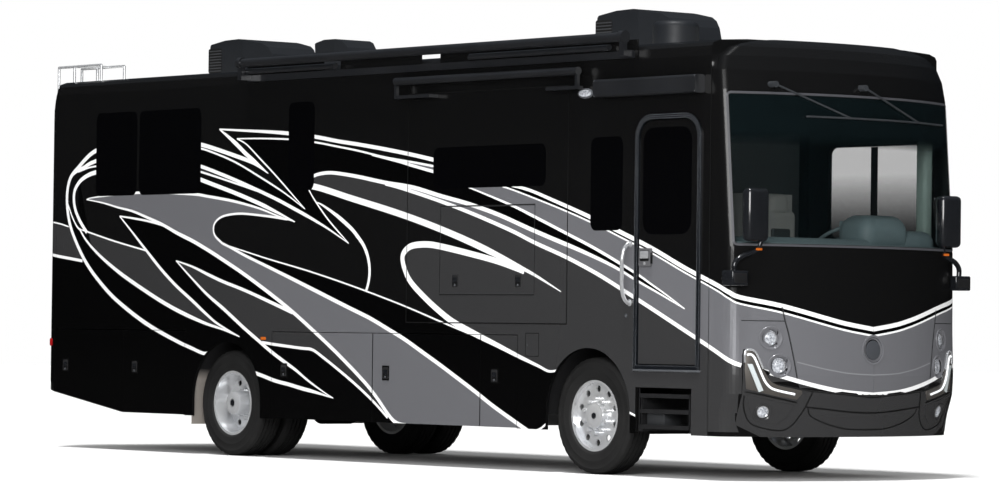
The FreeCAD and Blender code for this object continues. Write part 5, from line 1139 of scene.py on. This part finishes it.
def block(name, low, high, rounding, finish, body, segments=3):
    """A block with rounded edges between two corners."""
    bm = bmesh.new()
    bmesh.ops.create_cube(bm, size=1.0)
    for corner in bm.verts:
        corner.co = [a + (b - a) * (c + 0.5) for a, b, c in zip(low, high, corner.co)]
    bmesh.ops.bevel(
        bm, geom=bm.edges[:], offset=rounding, segments=segments, profile=0.5, affect="EDGES"
    )
    return shape(name, bm, finish, body)


def placed(low, high, side=1):
    """Two corners given forward of the front axle, beside the middle and up, on one side."""
    beside = sorted((side * low[1], side * high[1]))
    return (axle_x + low[0], beside[0], low[2]), (axle_x + high[0], beside[1], high[2])


MIRROR_BLOCKS = (
    ("head", (1.792, 0.984, 1.936), (1.900, 1.214, 2.369), 0.042, gloss_trim, 5),
    ("face", (1.786, 1.008, 1.975), (1.794, 1.190, 2.330), 0.0035, mirror_glass, 2),
    ("base", (1.725, 1.180, 1.578), (1.862, 1.356, 1.700), 0.012, gloss_trim, 3),
    ("cover", (1.740, 1.196, 1.596), (1.8645, 1.342, 1.682), 0.010, trim, 3),
)
MIRROR_MARKER = ((1.846, 1.035, 1.865), (1.862, 1.095, 1.885))
MIRROR_ARM = (
    (1.797, 1.275, 1.69), (1.797, 1.275, 1.76), (1.812, 1.21, 1.815), (1.832, 1.07, 1.870),
    (1.844, 1.03, 1.955),
)
for side, word in SIDES:
    for label, low, high, rounding, finish, segments in MIRROR_BLOCKS:
        name = f"mirror_{label}_{word}"
        block(name, *placed(low, high, side), rounding, finish, "coach", segments)
    if side < 0:
        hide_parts("mirrors")
    arm = [Vector((axle_x + x, side * beside, z)) for x, beside, z in MIRROR_ARM]
    tube(f"mirror_arm_{word}", arm, 0.021, gloss_trim, "coach", 14, 6)
    block(f"mirror_marker_{word}", *placed(*MIRROR_MARKER, side), 0.004, amber, "coach", 2)

# Cab inside: a wide moulded dash with a hooded cowl before the driver, a steering wheel, and
# two pale seats with darker middle panels. Pale linings cover the screen pillars, and a dark
# sheet behind the driver is painted shade for the dim cab beyond. Corners are forward of the
# axle, beside the middle, up.
# The dash grey is lightened as painted light, for the daylight coming in through the windscreen.
dash_with_painted_daylight = lacquer("grey dash skin with painted daylight", (0.20, 0.285, 0.30), 0.5)
pale_leather = Finish("pale seat leather", (0.42, 0.42, 0.38), 0.5)
pale_leather.tint(pale_leather.noise(7.0), (0.56, 0.60, 0.57), (0.70, 0.74, 0.70))
pale_leather.bump(pale_leather.noise(300.0), 0.3, 0.001)
# Dark leather for the seat panels, also used for the painted shade sheet behind the driver.
dark_leather_and_cab_shade = lacquer("dark seat leather and painted cab shade", (0.10, 0.12, 0.125), 0.5)
lining = lacquer("cab lining", (0.30, 0.42, 0.38), 0.7)
coat(dash_with_painted_daylight, "dashboard", "steering_wheel")
coat(pale_leather.material, "cab_seats")

SWELL_HEIGHT = 0.25


def swell(name, low, high, rounding, finish, body):
    """A cushion: a block with wide round edges that swells in its middle."""
    piece = block(name, low, high, rounding, finish, body, 5)
    middle = (Vector(low) + Vector(high)) / 2
    half = (Vector(high) - Vector(low)) / 2
    thin = min(range(3), key=lambda axis: half[axis])
    for corner in piece.data.vertices:
        shares = [(corner.co[axis] - middle[axis]) / half[axis] for axis in range(3)]
        others = [1 - shares[axis] ** 2 for axis in range(3) if axis != thin]
        corner.co[thin] += shares[thin] * half[thin] * SWELL_HEIGHT * others[0] * others[1]
    return piece


SEAT_CUSHIONS = (
    ("seat_back", (0.14, 0.40, 1.74), (0.30, 0.82, 2.26), 0.06, pale_leather.material),
    ("seat_panel", (0.28, 0.50, 1.80), (0.325, 0.72, 2.10), 0.02, dark_leather_and_cab_shade),
    ("seat_head", (0.17, 0.50, 2.22), (0.30, 0.72, 2.40), 0.05, pale_leather.material),
)
DASH_HUMPS = (
    ("dash_top", (1.40, -1.02, 1.895), (1.70, 1.02, 1.985), 0.04),
    ("dash_cowl", (1.32, 0.27, 1.88), (1.72, 0.80, 2.170), 0.12),
    ("dash_side", (1.36, 0.62, 1.86), (1.70, 1.12, 2.060), 0.09),
)
PILLAR = ((1.44, 1.10, 1.92), (1.56, 1.20, 2.86))
# A dark sheet behind the driver: painted shade for the dim cab beyond.
SHADE_SHEET = ((-0.12, 0.20, 1.30), (-0.06, 1.18, 2.95))
for side, word in SIDES:
    for label, low, high, rounding, leather in SEAT_CUSHIONS:
        swell(f"{label}_{word}", *placed(low, high, side), rounding, leather, "coach")
for name, low, high, rounding in DASH_HUMPS:
    swell(name, *placed(low, high), rounding, dash_with_painted_daylight, "coach")
for side, word in reversed(SIDES):
    block(f"pillar_lining_{word}", *placed(*PILLAR, side), 0.03, lining, "coach", 3)
block("cab_shade_sheet", *placed(*SHADE_SHEET), 0.02, dark_leather_and_cab_shade, "coach", 3)

# Windows: frameless smoked panes, black from outside. The cab window on the left is clearer,
# and daylight shows through it when it is seen from in front through the windscreen.
smoked = Finish("smoked glass", (0.0012, 0.0012, 0.0015), 0.07, Specular_IOR_Level=0.3)
window_foot, window_top = 2.03, 2.58
cab_start = axle_x + 0.1
left_cab = smoked.measure("Y").over(0.0) * smoked.measure("X").over(cab_start)
clearer = smoked.fade(smoked.measure("Z"), window_foot, window_top, 0.10, 0.85)
smoked.set("Alpha", 1.0 - left_cab * clearer)
smoked.set("Roughness", 0.06 + smoked.noise(4.0) * 0.03)
coat(smoked.material, "side_windows", "entry_door_window", "slide_out_window")
MULLION = ((0.728, 1.2710, 2.04), (0.806, 1.2815, 2.815))
block("cab_window_mullion", *placed(*MULLION), 0.003, trim, "coach", 2)

# Entry door: a flush door in an extruded aluminium frame, black, with thin bright strips along
# its edges that are painted highlights, over a bright sill. A paddle handle sits in a bezel, and a
# bowed grab rail stands beside it. Outlines on a wall are forward of the front axle, then up.
# Bright metal for the sill, lock, catches and end plates; on the door frame, painted highlight.
bright_metal_and_highlight = metal("bright metal and painted edge highlight", (0.36, 0.38, 0.41), 0.25, 0.8)
frame_black = lacquer("frame black", (0.0065, 0.008, 0.0105), 0.18, Coat_Weight=0.4)
handle_grey = lacquer("handle grey", (0.10, 0.10, 0.105), 0.35)
coat(frame_black, "door_frame")


def on_wall(side):
    """Places on a side wall: along, level and how far proud of the face."""
    return lambda along, level, proud: Vector((axle_x + along, side * (side_face + proud), level))


def rounded(a_low, a_high, b_low, b_high, radius, steps=6):
    """The outline of a rectangle with round corners."""
    points = []
    for a, b, start in (
        (a_high - radius, b_high - radius, 0),
        (a_low + radius, b_high - radius, 1),
        (a_low + radius, b_low + radius, 2),
        (a_high - radius, b_low + radius, 3),
    ):
        for step in range(steps + 1):
            turn = (start + step / steps) * math.pi / 2
            points.append((a + radius * math.cos(turn), b + radius * math.sin(turn)))
    return points


def faces_outward(face):
    """Tell the outer faces of the door frame from the others."""
    return face.normal.y < -0.95 and face.center.y < -1.28


def loop_top(loop):
    """The level of a loop's highest point."""
    return max(point.z for point, _ in loop)


wall = on_wall(-1)
door_loops = sorted(rim_loops("door_frame", faces_outward), key=loop_top, reverse=True)
# The two strips round the door frame are painted highlights on its edges.
for number, loop in enumerate(door_loops[:2]):
    edging(f"door_edge_highlight_{number}", loop, 0.004, 0.005, 0.0012, bright_metal_and_highlight, "coach")
    edging(f"door_highlight_line_{number}", loop, 0.022, 0.003, 0.0012, bright_metal_and_highlight, "coach")
DOOR_SILL = ((0.585, 0.872), (1.400, 0.872), (1.400, 0.890), (0.585, 0.890))
raised("door_sill", DOOR_SILL, 0.016, wall, bright_metal_and_highlight, "coach", chamfer=0.003)
# The handle's recess is a near-black plate of painted shadow.
DOOR_HANDLE = (
    ("bezel", (0.655, 0.800, 1.735, 1.885), 0.012, 0.0245, handle_grey, 0.003),
    ("recess", (0.672, 0.783, 1.780, 1.868), 0.010, 0.0255, painted_seam_shadow, 0.0),
    ("paddle", (0.676, 0.779, 1.800, 1.864), 0.008, 0.030, chrome, 0.003),
    ("lock", (0.715, 0.742, 1.746, 1.773), 0.012, 0.027, chrome, 0.002),
)
for label, sides, radius, proud, finish, chamfer in DOOR_HANDLE:
    outline = rounded(*sides, radius)
    raised(f"handle_{label}", outline, proud, wall, finish, "entry_door", chamfer=chamfer)
GRAB_RAIL = (
    (0.522, 1.2835, 1.925), (0.520, 1.312, 1.918), (0.514, 1.346, 1.872), (0.508, 1.3585, 1.79),
    (0.506, 1.3595, 1.68), (0.508, 1.3585, 1.57), (0.514, 1.346, 1.486), (0.520, 1.312, 1.440),
    (0.522, 1.2835, 1.433),
)
rail = [Vector((axle_x + x, -beside, z)) for x, beside, z in GRAB_RAIL]
grab = tube("grab_rail", rail, 0.0165, chrome, "coach", 14, 5)
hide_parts("grab_handle")
TO_THE_RIGHT = (0, -1, 0)
RAIL_FOOT = ((0.0, 0.029), (0.004, 0.029), (0.006, 0.026), (0.008, 0.0))
for end, level in (("upper", 1.922), ("lower", 1.436)):
    foot = wall(0.522, level, 0.0)
    lathe(f"grab_foot_{end}", RAIL_FOOT, foot, TO_THE_RIGHT, chrome, "coach", 24)
BODY_LOCK = ((0.0, 0.016), (0.004, 0.016), (0.006, 0.012), (0.006, 0.0))
lathe("body_lock", BODY_LOCK, wall(0.48, 1.33, 0.0), TO_THE_RIGHT, bright_metal_and_highlight, "coach", 20)

# Entry step: folding treads of black ribbed steel in an open well, with a bare metal side
# plate and the box of the step motor below them.
step_black = Finish("ribbed step black", (0.010, 0.010, 0.011), 0.45)
step_black.bump(step_black.ribs("Y", 18.0), 0.5, 0.004)
step_black.tint(step_black.noise(9.0), (0.008, 0.008, 0.009), (0.020, 0.020, 0.021))
bare_sheet = Finish("bare sheet metal", (0.42, 0.43, 0.44), 0.38, Metallic=0.7)
bare_sheet.tint(bare_sheet.noise(5.0), (0.34, 0.35, 0.36), (0.50, 0.51, 0.52))
motor_grey = lacquer("step motor box", (0.035, 0.037, 0.04), 0.5)
coat(step_black.material, "entry_step", "step_well")
STEP_PLATE = ((0.620, 0.90, 0.385), (0.632, 1.250, 0.735))
STEP_MOTOR = ((0.70, 1.05, 0.415), (0.92, 1.235, 0.528))
block("step_side_plate", *placed(*STEP_PLATE, -1), 0.004, bare_sheet.material, "coach", 2)
block("step_motor_box", *placed(*STEP_MOTOR, -1), 0.010, motor_grey, "coach", 2)

# Slide-out: a flush room with painted shadow along the seal round it, a hatch with two
# latches, and a topper awning whose roller and curved arms ride out with the room.
slide_low, slide_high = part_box("slide_out")
slide_rear, slide_front = slide_low[0] - axle_x, slide_high[0] - axle_x
SLIDE_SEAL = (
    (slide_rear, slide_low[2]), (slide_front, slide_low[2]), (slide_front, slide_high[2]),
    (slide_rear, slide_high[2]), (slide_rear, slide_low[2]),
)
strip("slide_seal", SLIDE_SEAL, 0.012, 0.0022, wall, painted_seam_shadow, "slide_out")
HATCH = ((-2.006, 1.50), (-0.714, 1.50), (-0.714, 2.27), (-2.006, 2.27), (-2.006, 1.50))
HATCH_HIGHLIGHT = [(along * 0.990 - 0.0136, level * 0.982 + 0.034) for along, level in HATCH]
# The gap round the hatch is a strip of painted shadow.
strip("hatch_gap", HATCH, 0.010, 0.0022, wall, painted_seam_shadow, "slide_out")
# The lighter strip inside the hatch gap is a painted highlight on its edge.
strip("hatch_highlight", HATCH_HIGHLIGHT, 0.004, 0.0024, wall, painted_seam_highlight, "slide_out")
latch_plate = lacquer("latch plate", (0.020, 0.020, 0.021), 0.35)
LATCH = (
    ("plate", 0.042, -0.052, 0.052, 0.012, 0.0, latch_plate, 0.002),
    ("well", 0.032, -0.040, 0.030, 0.008, 0.0008, painted_seam_shadow, 0.0),
    ("paddle", 0.029, -0.014, 0.028, 0.006, 0.003, gloss_trim, 0.002),
    ("key", 0.010, -0.046, -0.026, 0.009, 0.0025, bright_metal_and_highlight, 0.001),
)


def latch(name, along, level, body, wall, proud=0.004):
    """A recessed paddle latch: a plate, a well in painted shadow, and a paddle with a key barrel."""
    for label, half, foot, top, radius, height, finish, chamfer in LATCH:
        outline = rounded(along - half, along + half, level + foot, level + top, radius)
        raised(f"{name}_{label}", outline, proud + height, wall, finish, body, chamfer=chamfer)


latch("hatch_latch_rear", -1.79, 1.62, "slide_out", wall)
latch("hatch_latch_front", -0.93, 1.62, "slide_out", wall)

# Bay doors, fuel flap and small side fittings: pressed doors with slam latches on raised
# plates, a square flap over the filler, an oval porch lamp, and amber and red side markers.
latch_height = 0.0088
for side, word, count in ((-1, "right", 5), (1, "left", 3)):
    for number in range(1, count + 1):
        node = f"bay_door_{word}_{number}"
        corners = [corner.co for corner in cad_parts[node].data.vertices]
        plate = [corner for corner in corners if abs(corner.y) > side_face + 0.004]
        along = (min(corner.x for corner in plate) + max(corner.x for corner in plate)) / 2 - axle_x
        level = (min(corner.z for corner in plate) + max(corner.z for corner in plate)) / 2
        latch(f"{node}_latch", along, level, node, on_wall(side), latch_height)
# The gap round the fuel flap is a strip of painted shadow.
FUEL_FLAP = ((-0.82, 0.978), (-0.645, 0.978), (-0.645, 1.174), (-0.82, 1.174), (-0.82, 0.978))
FLAP_CATCH = ((0.0, 0.009), (0.003, 0.009), (0.005, 0.0))
strip("fuel_flap_gap", FUEL_FLAP, 0.008, 0.0022, wall, painted_seam_shadow, "coach")
lathe("fuel_flap_catch", FLAP_CATCH, wall(-0.793, 1.077, 0.0), TO_THE_RIGHT, bright_metal_and_highlight, "coach", 16)
red_lens = lacquer("red lens", (0.35, 0.006, 0.008), 0.15)
MARKERS = (
    ("amber", (-4.635, -4.56, 1.080, 1.108), 0.008, 0.008, amber, 0.003),
    ("red", (-8.146, -8.102, 0.990, 1.066), 0.018, 0.010, red_lens, 0.004),
)
for side, word in SIDES:
    for label, sides, radius, proud, finish, chamfer in MARKERS:
        outline = rounded(*sides, radius)
        name = f"{label}_marker_{word}"
        raised(name, outline, proud, on_wall(side), finish, "coach", chamfer=chamfer)
PORCH_LAMP = (-0.065, 3.190)
base = oval(*PORCH_LAMP, 0.098, 0.044, 28)
raised("porch_lamp_base", base, 0.010, wall, bright_metal_and_highlight, "coach", chamfer=0.004)
cover = oval(*PORCH_LAMP, 0.078, 0.031, 28)
raised("porch_lamp_lens", cover, 0.022, wall, lens.material, "coach", chamfer=0.009)

# Cap seam: painted shadow in the gap where the front cap butts against the right wall
# and its skirt.
for name, foot, top in (("seam_cap_right", 1.0, 3.40), ("seam_cap_foot", 0.40, 1.0)):
    seam = ((nose_seam, foot), (nose_seam, top))
    strip(name, seam, 0.006, 0.0030, wall, painted_seam_shadow, "coach")

# Awnings: a long roller on arms before four wall plates along the roof edge, and a short
# round-ended case over the door. The aluminium is powder coated black, the plates painted.
awning_black = Finish(
    "awning black", (0.011, 0.012, 0.014), 0.28, Metallic=0.3, Coat_Weight=0.8, Coat_Roughness=0.1
)
awning_black.tint(awning_black.noise(3.0), (0.011, 0.012, 0.014), (0.026, 0.027, 0.030))
awning_black.bump(awning_black.noise(60.0), 0.06, 0.002)
coat(awning_black.material, "awnings", "slide_topper")
plate_top = 3.615
WALL_PLATES = ((-4.9, -3.72, 3.455), (-3.47, -2.29, 3.452), (-2.03, -0.60, 3.452), (-0.60, 0.60, 3.452))
for number, (start, stop, foot) in enumerate(WALL_PLATES):
    plate = [(start, foot), (stop, foot), (stop, plate_top), (start, plate_top)]
    name = f"awning_plate_{number}"
    raised(name, plate, 0.008, wall, PAINTS["black"], "coach", sunk=0.002, chamfer=0.003)
arm_beside, arm_level = -1.345, 3.555
for name, start, stop in (("rear", -4.83, -3.47), ("front", -1.55, 0.30)):
    places = (start, (start + stop) / 2, stop)
    arm = [Vector((axle_x + place, arm_beside, arm_level)) for place in places]
    tube(f"awning_arm_{name}", arm, 0.030, awning_black.material, "coach", 12, 2, 0.8)
ROLLER_CAP = (
    (-0.012, 0.040), (-0.012, 0.052), (0.0, 0.053), (0.008, 0.048), (0.011, 0.030), (0.011, 0.0)
)
roller_beside, roller_level = -1.3925, 3.630
for end, place, way in (("rear", -4.868, -1), ("front", 0.548, 1)):
    middle = (axle_x + place, roller_beside, roller_level)
    lathe(f"awning_cap_{end}", ROLLER_CAP, middle, (way, 0, 0), gloss_trim, "coach", 32)
for number, place in enumerate((0.158, 1.413)):
    end_plate = rounded(place - 0.006, place + 0.006, 3.150, 3.285, 0.005)
    name = f"door_awning_end_{number}"
    raised(name, end_plate, 0.109, wall, bright_metal_and_highlight, "coach", sunk=0.002, chamfer=0.002)

# Roof: white rubber skin in the middle, and the painted black edge where the walls turn over.
ROOF_WHITE = (0.70, 0.70, 0.68)
EDGE_BLACK = (0.0056, 0.0056, 0.0058)
skin_edge, paint_edge = 1.168, 1.172
roof_skin = Finish("roof skin", ROOF_WHITE, 0.5)
edge_share = roof_skin.fade(abs(roof_skin.measure("Y")), skin_edge, paint_edge)
roof_skin.tint(edge_share, ROOF_WHITE, EDGE_BLACK)
roof_skin.set("Roughness", 0.5 - edge_share * 0.27)
roof_skin.bump(roof_skin.noise(6.0), 0.1, 0.01)
coat(roof_skin.material, "roof")

# Roof units: two coolers with louvres in their sides and rear ends, a raised vent cover and a
# low dome, all in dark smooth plastic. A seam runs between each cooler's shroud and its base,
# drawn as a strip of painted shadow, and a near-black plate of painted shadow fills each
# louvre behind its slats.
shroud = lacquer("dark shroud plastic", (0.0125, 0.0145, 0.018), 0.5, Specular_IOR_Level=0.35)
coat(shroud, "roof_units")
slat_dark = lacquer("louvre slat", (0.045, 0.047, 0.052), 0.4)
slat_pitch = 0.0275
slat_height = 0.011
shroud_half = 0.350


def unit_side(side):
    """Places on a cooler's side: along, level and how far proud of the face."""
    return lambda along, level, proud: Vector((axle_x + along, side * (shroud_half + proud), level))


def unit_end(place):
    """Places on a cooler's rear end: beside the middle, level and how far proud of the face."""
    return lambda beside, level, proud: Vector((axle_x + place - proud, beside, level))


def louvre(name, start, stop, foot, proud, spot, body, height=slat_height):
    """One slat of a louvre."""
    slat = [(start, foot), (stop, foot), (stop, foot + height), (start, foot + height)]
    raised(name, slat, proud, spot, slat_dark, body, chamfer=0.002)


for name, start in (("rear", -6.875), ("front", -1.075)):
    for side, word in SIDES:
        spot = unit_side(side)
        vent = rounded(start + 0.03, start + 0.25, 3.665, 3.900, 0.02)
        raised(f"{name}_cooler_vent_{word}", vent, 0.0012, spot, painted_seam_shadow, "coach", chamfer=0.0)
        for number in range(8):
            foot = 3.677 + number * slat_pitch
            slat_name = f"{name}_cooler_slat_{word}_{number}"
            louvre(slat_name, start + 0.036, start + 0.244, foot, 0.006, spot, "coach")
        seam = ((start + 0.02, 3.64), (start + 0.99, 3.64))
        strip(f"{name}_cooler_seam_{word}", seam, 0.006, 0.002, spot, painted_seam_shadow, "coach")
    spot = unit_end(start)
    grille = rounded(-0.30, 0.30, 3.665, 3.845, 0.02)
    raised(f"{name}_cooler_grille", grille, 0.0012, spot, painted_seam_shadow, "coach", chamfer=0.0)
    for number in range(6):
        foot = 3.680 + number * slat_pitch
        louvre(f"{name}_cooler_bar_{number}", -0.29, 0.29, foot, 0.005, spot, "coach")

# Ladder: welded bright aluminium tube with flat rungs, bolted through the rear cap.
ladder_tube = metal("ladder aluminium", (0.75, 0.76, 0.78), 0.25, 0.6)
coat(ladder_tube, "ladder")

# Rear end: tall red lamp stacks, a high lamp bar, and the engine door with a louvred grille.
coat(red_lens, "rear_lamps")
engine_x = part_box("engine_door")[0][0]


def engine_face(beside, level, proud):
    """Places on the engine door: beside the middle, level and how far proud of the face."""
    return Vector((engine_x - proud, beside, level))


for number in range(9):
    foot = 0.86 + number * 0.036
    louvre(f"engine_grille_{number}", -0.50, 0.50, foot, 0.006, engine_face, "engine_door", 0.018)

# Wheels: ten-hole polished wheels on ribbed road tyres, single in front and twinned behind.
# The tyres are moulded rubber with round shoulders, side ribs and four grooves in the tread.
# A row of a tyre's profile is its share of the half width and its radius.
rubber = Finish("tyre rubber", (0.015, 0.015, 0.016), 0.7)
rubber.tint(rubber.noise(5.0), (0.006, 0.006, 0.0065), (0.017, 0.0165, 0.016))
rubber.bump(rubber.noise(220.0), 0.15, 0.002)
polished = Finish("polished aluminium", (0.80, 0.81, 0.83), 0.2, Metallic=0.6)
polished.set("Roughness", 0.14 + polished.noise(26.0) * 0.12)
polished.tint(polished.noise(3.0), (0.70, 0.72, 0.76), (0.86, 0.86, 0.85))
SIDE_ROWS = [
    (0.70, 0.296), (0.86, 0.299), (0.93, 0.314), (0.945, 0.317), (0.955, 0.323), (0.975, 0.345),
    (0.990, 0.375), (1.000, 0.380), (1.000, 0.384), (0.990, 0.389), (0.990, 0.415), (0.975, 0.440),
    (0.985, 0.443), (0.980, 0.448), (0.945, 0.455), (0.905, 0.470), (0.860, 0.4795), (0.800, 0.4865),
]
TREAD_ROWS = [
    (0.560, 0.4885), (0.550, 0.476), (0.480, 0.476), (0.470, 0.489), (0.220, 0.4895), (0.210, 0.477),
    (0.140, 0.477), (0.130, 0.490),
]
half_width = 0.1275
OUTER = [(share * half_width, radius) for share, radius in SIDE_ROWS + TREAD_ROWS]
TYRE = OUTER + [(-along, radius) for along, radius in OUTER[::-1]] + OUTER[:1]
SHOULDER_ROWS = (16, 17, len(TYRE) - 18, len(TYRE) - 19)
lug_depth = 0.006


def lugs(index, step):
    """Notches across the shoulders of the tread, one in three steps."""
    return lug_depth if index in SHOULDER_ROWS and step % 3 == 0 else 0.0


wheel_face = 1.22
twin_face = 0.65
HUB_CAP = (
    (-0.105, 0.112), (-0.020, 0.110), (-0.006, 0.106), (0.001, 0.094), (0.003, 0.060), (0.003, 0.036)
)
HUB_CENTRE = ((0.0, 0.026), (0.006, 0.025), (0.008, 0.020), (0.008, 0.0))
for side, word in SIDES:
    outward = (0, side, 0)
    for end in ("front", "rear"):
        low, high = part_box(f"{end}_tyre_{word}")
        middle = ((low[0] + high[0]) / 2, side * (wheel_face - half_width), (low[2] + high[2]) / 2)
        body = f"wheel_{end}_{word}"
        tyre = lathe(f"{end}_road_tyre_{word}", TYRE, middle, outward, rubber.material, body, 120, lugs)
        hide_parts(f"{end}_tyre_{word}")
        if end == "rear":
            inner = (middle[0], side * (twin_face + half_width), middle[2])
            lathe(f"inner_road_tyre_{word}", TYRE, inner, outward, rubber.material, body, 120, lugs)
        coat(polished.material, f"{end}_rim_{word}")
        outer = max(abs(corner[1]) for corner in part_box(f"{end}_rim_{word}"))
        base = (middle[0], side * outer, middle[2])
        lathe(f"{end}_hub_cap_{word}", HUB_CAP, base, outward, polished.material, body, 40)
        lathe(f"{end}_hub_centre_{word}", HUB_CENTRE, base, outward, gloss_trim, body, 28)

# Running gear, luggage bays, floor and wheelhouses: painted iron, galvanised bay liners, a
# boarded floor, and black wheelhouse liners that are pale low down round the rear wheels.
iron = lacquer("black iron", (0.014, 0.014, 0.015), 0.55, Metallic=0.3)
galvanised = metal("galvanised sheet", (0.35, 0.35, 0.36), 0.45, 0.8)
board = Finish("floor board", (0.26, 0.21, 0.15), 0.6)
board.tint(board.noise(4.0), (0.22, 0.18, 0.13), (0.30, 0.24, 0.17))
coat(iron, "chassis_frame", "tow_receiver", "engine", "front_axle", "rear_axle")
coat(iron, "knuckle_right", "knuckle_left")
coat(galvanised, "luggage_bays")
coat(board.material, "floor_deck")
liner = Finish("wheelhouse liner", (0.30, 0.28, 0.25), 0.6)
pale_below, black_above = 0.70, 0.80
rear_liners_start = axle_x - 4.0
low_down = liner.fade(liner.measure("Z"), black_above, pale_below)
behind = liner.measure("X").under(rear_liners_start)
liner.tint(low_down * behind, (0.012, 0.012, 0.013), (0.33, 0.30, 0.27))
coat(liner.material, "wheelhouses")

# The camera stands low at the front right, far off with a long lens, as for the photo. The
# focal length is given in pixels of a photo 1000 wide and turned to the lens's millimetres.
scene = bpy.context.scene
EYE = Vector((axle_x + 27.2852, -24.5535, 1.1787))
FOCAL_PIXELS = 4286.8
PHOTO_WIDTH = 1000.0
SENSOR_WIDTH = 36.0
yaw = math.radians(140.733)
pitch = math.radians(1.099)
roll = math.radians(0.733)
forward = Vector((math.cos(pitch) * math.cos(yaw), math.cos(pitch) * math.sin(yaw), math.sin(pitch)))
right = forward.cross(Vector((0, 0, 1))).normalized()
up = right.cross(forward)
level_right = math.cos(roll) * right + math.sin(roll) * up
level_up = math.cos(roll) * up - math.sin(roll) * right
camera = bpy.data.objects.new("camera", bpy.data.cameras.new("camera"))
camera.data.sensor_width = SENSOR_WIDTH
camera.data.lens = FOCAL_PIXELS * SENSOR_WIDTH / PHOTO_WIDTH
camera.data.clip_end = 200.0
rows = [(*row, eye) for *row, eye in zip(level_right, level_up, -forward, EYE)]
camera.matrix_world = Matrix([*rows, (0.0, 0.0, 0.0, 1.0)])
scene.collection.objects.link(camera)
scene.camera = camera
scene.view_settings.view_transform = "Standard"

# White floor and pale daylight. Glossy rays find a dark floor and a dark graded sky instead,
# so that black lacquer stays as black as in the photo, which was taken outdoors.
FLOOR_WHITE = (0.93, 0.93, 0.93)
bpy.ops.mesh.primitive_plane_add(size=160, location=(0, 0, 0))
floor = bpy.context.active_object
floor.name = "floor"
floor_finish = Finish("white floor", FLOOR_WHITE, 0.9, Specular_IOR_Level=0.0)
mirrored = floor_finish.node("ShaderNodeLightPath", {}, {}, "Is Glossy Ray")
floor_finish.tint(mirrored, FLOOR_WHITE, (0.022, 0.021, 0.020))
floor.data.materials.append(floor_finish.material)

DARK_SKY = (
    (0.02, (0.003, 0.003, 0.0035, 1.0)),
    (0.30, (0.012, 0.015, 0.020, 1.0)),
    (0.85, (0.13, 0.145, 0.165, 1.0)),
)
PALE_LIGHT = (0.43, 0.43, 0.43, 1.0)
BACKDROP = (1.0, 1.0, 1.0, 1.0)
world = bpy.data.worlds.new("daylight")
scene.world = world
world.use_nodes = True
sky = Nodes(world.node_tree)
direction = sky.node("ShaderNodeTexCoord", {}, {}, "Generated")
height = sky.node("ShaderNodeSeparateXYZ", {}, {"Vector": direction}, "Z")
dark_sky = sky.node("ShaderNodeValToRGB", {"stops": DARK_SKY}, {"Fac": height}, "Color")
by_camera = sky.node("ShaderNodeLightPath", {}, {}, "Is Camera Ray")
by_gloss = sky.node("ShaderNodeLightPath", {}, {}, "Is Glossy Ray")
daylight = sky.blend(by_gloss, sky.blend(by_camera, PALE_LIGHT, BACKDROP), dark_sky)
background = world.node_tree.nodes["Background"]
sky.feed(background.inputs["Color"], daylight)
background.inputs["Strength"].default_value = 1.0

# Lights: a broad high sun, and one large soft light before the nose on the right.
sun = bpy.data.objects.new("sun", bpy.data.lights.new("sun", "SUN"))
sun.data.energy = 2.6
sun.data.angle = math.radians(8)
sun.rotation_euler = (math.radians(12), math.radians(6), 0)
scene.collection.objects.link(sun)

key = bpy.data.objects.new("key light", bpy.data.lights.new("key light", "AREA"))
key.data.shape = "RECTANGLE"
key.data.size = 12.0
key.data.size_y = 8.0
key.data.energy = 3300.0
key.location = (18.0, -17.0, 7.0)
key_target = Vector((2.0, -0.5, 1.6))
key.rotation_euler = (key_target - key.location).to_track_quat("-Z", "Y").to_euler()
scene.collection.objects.link(key)
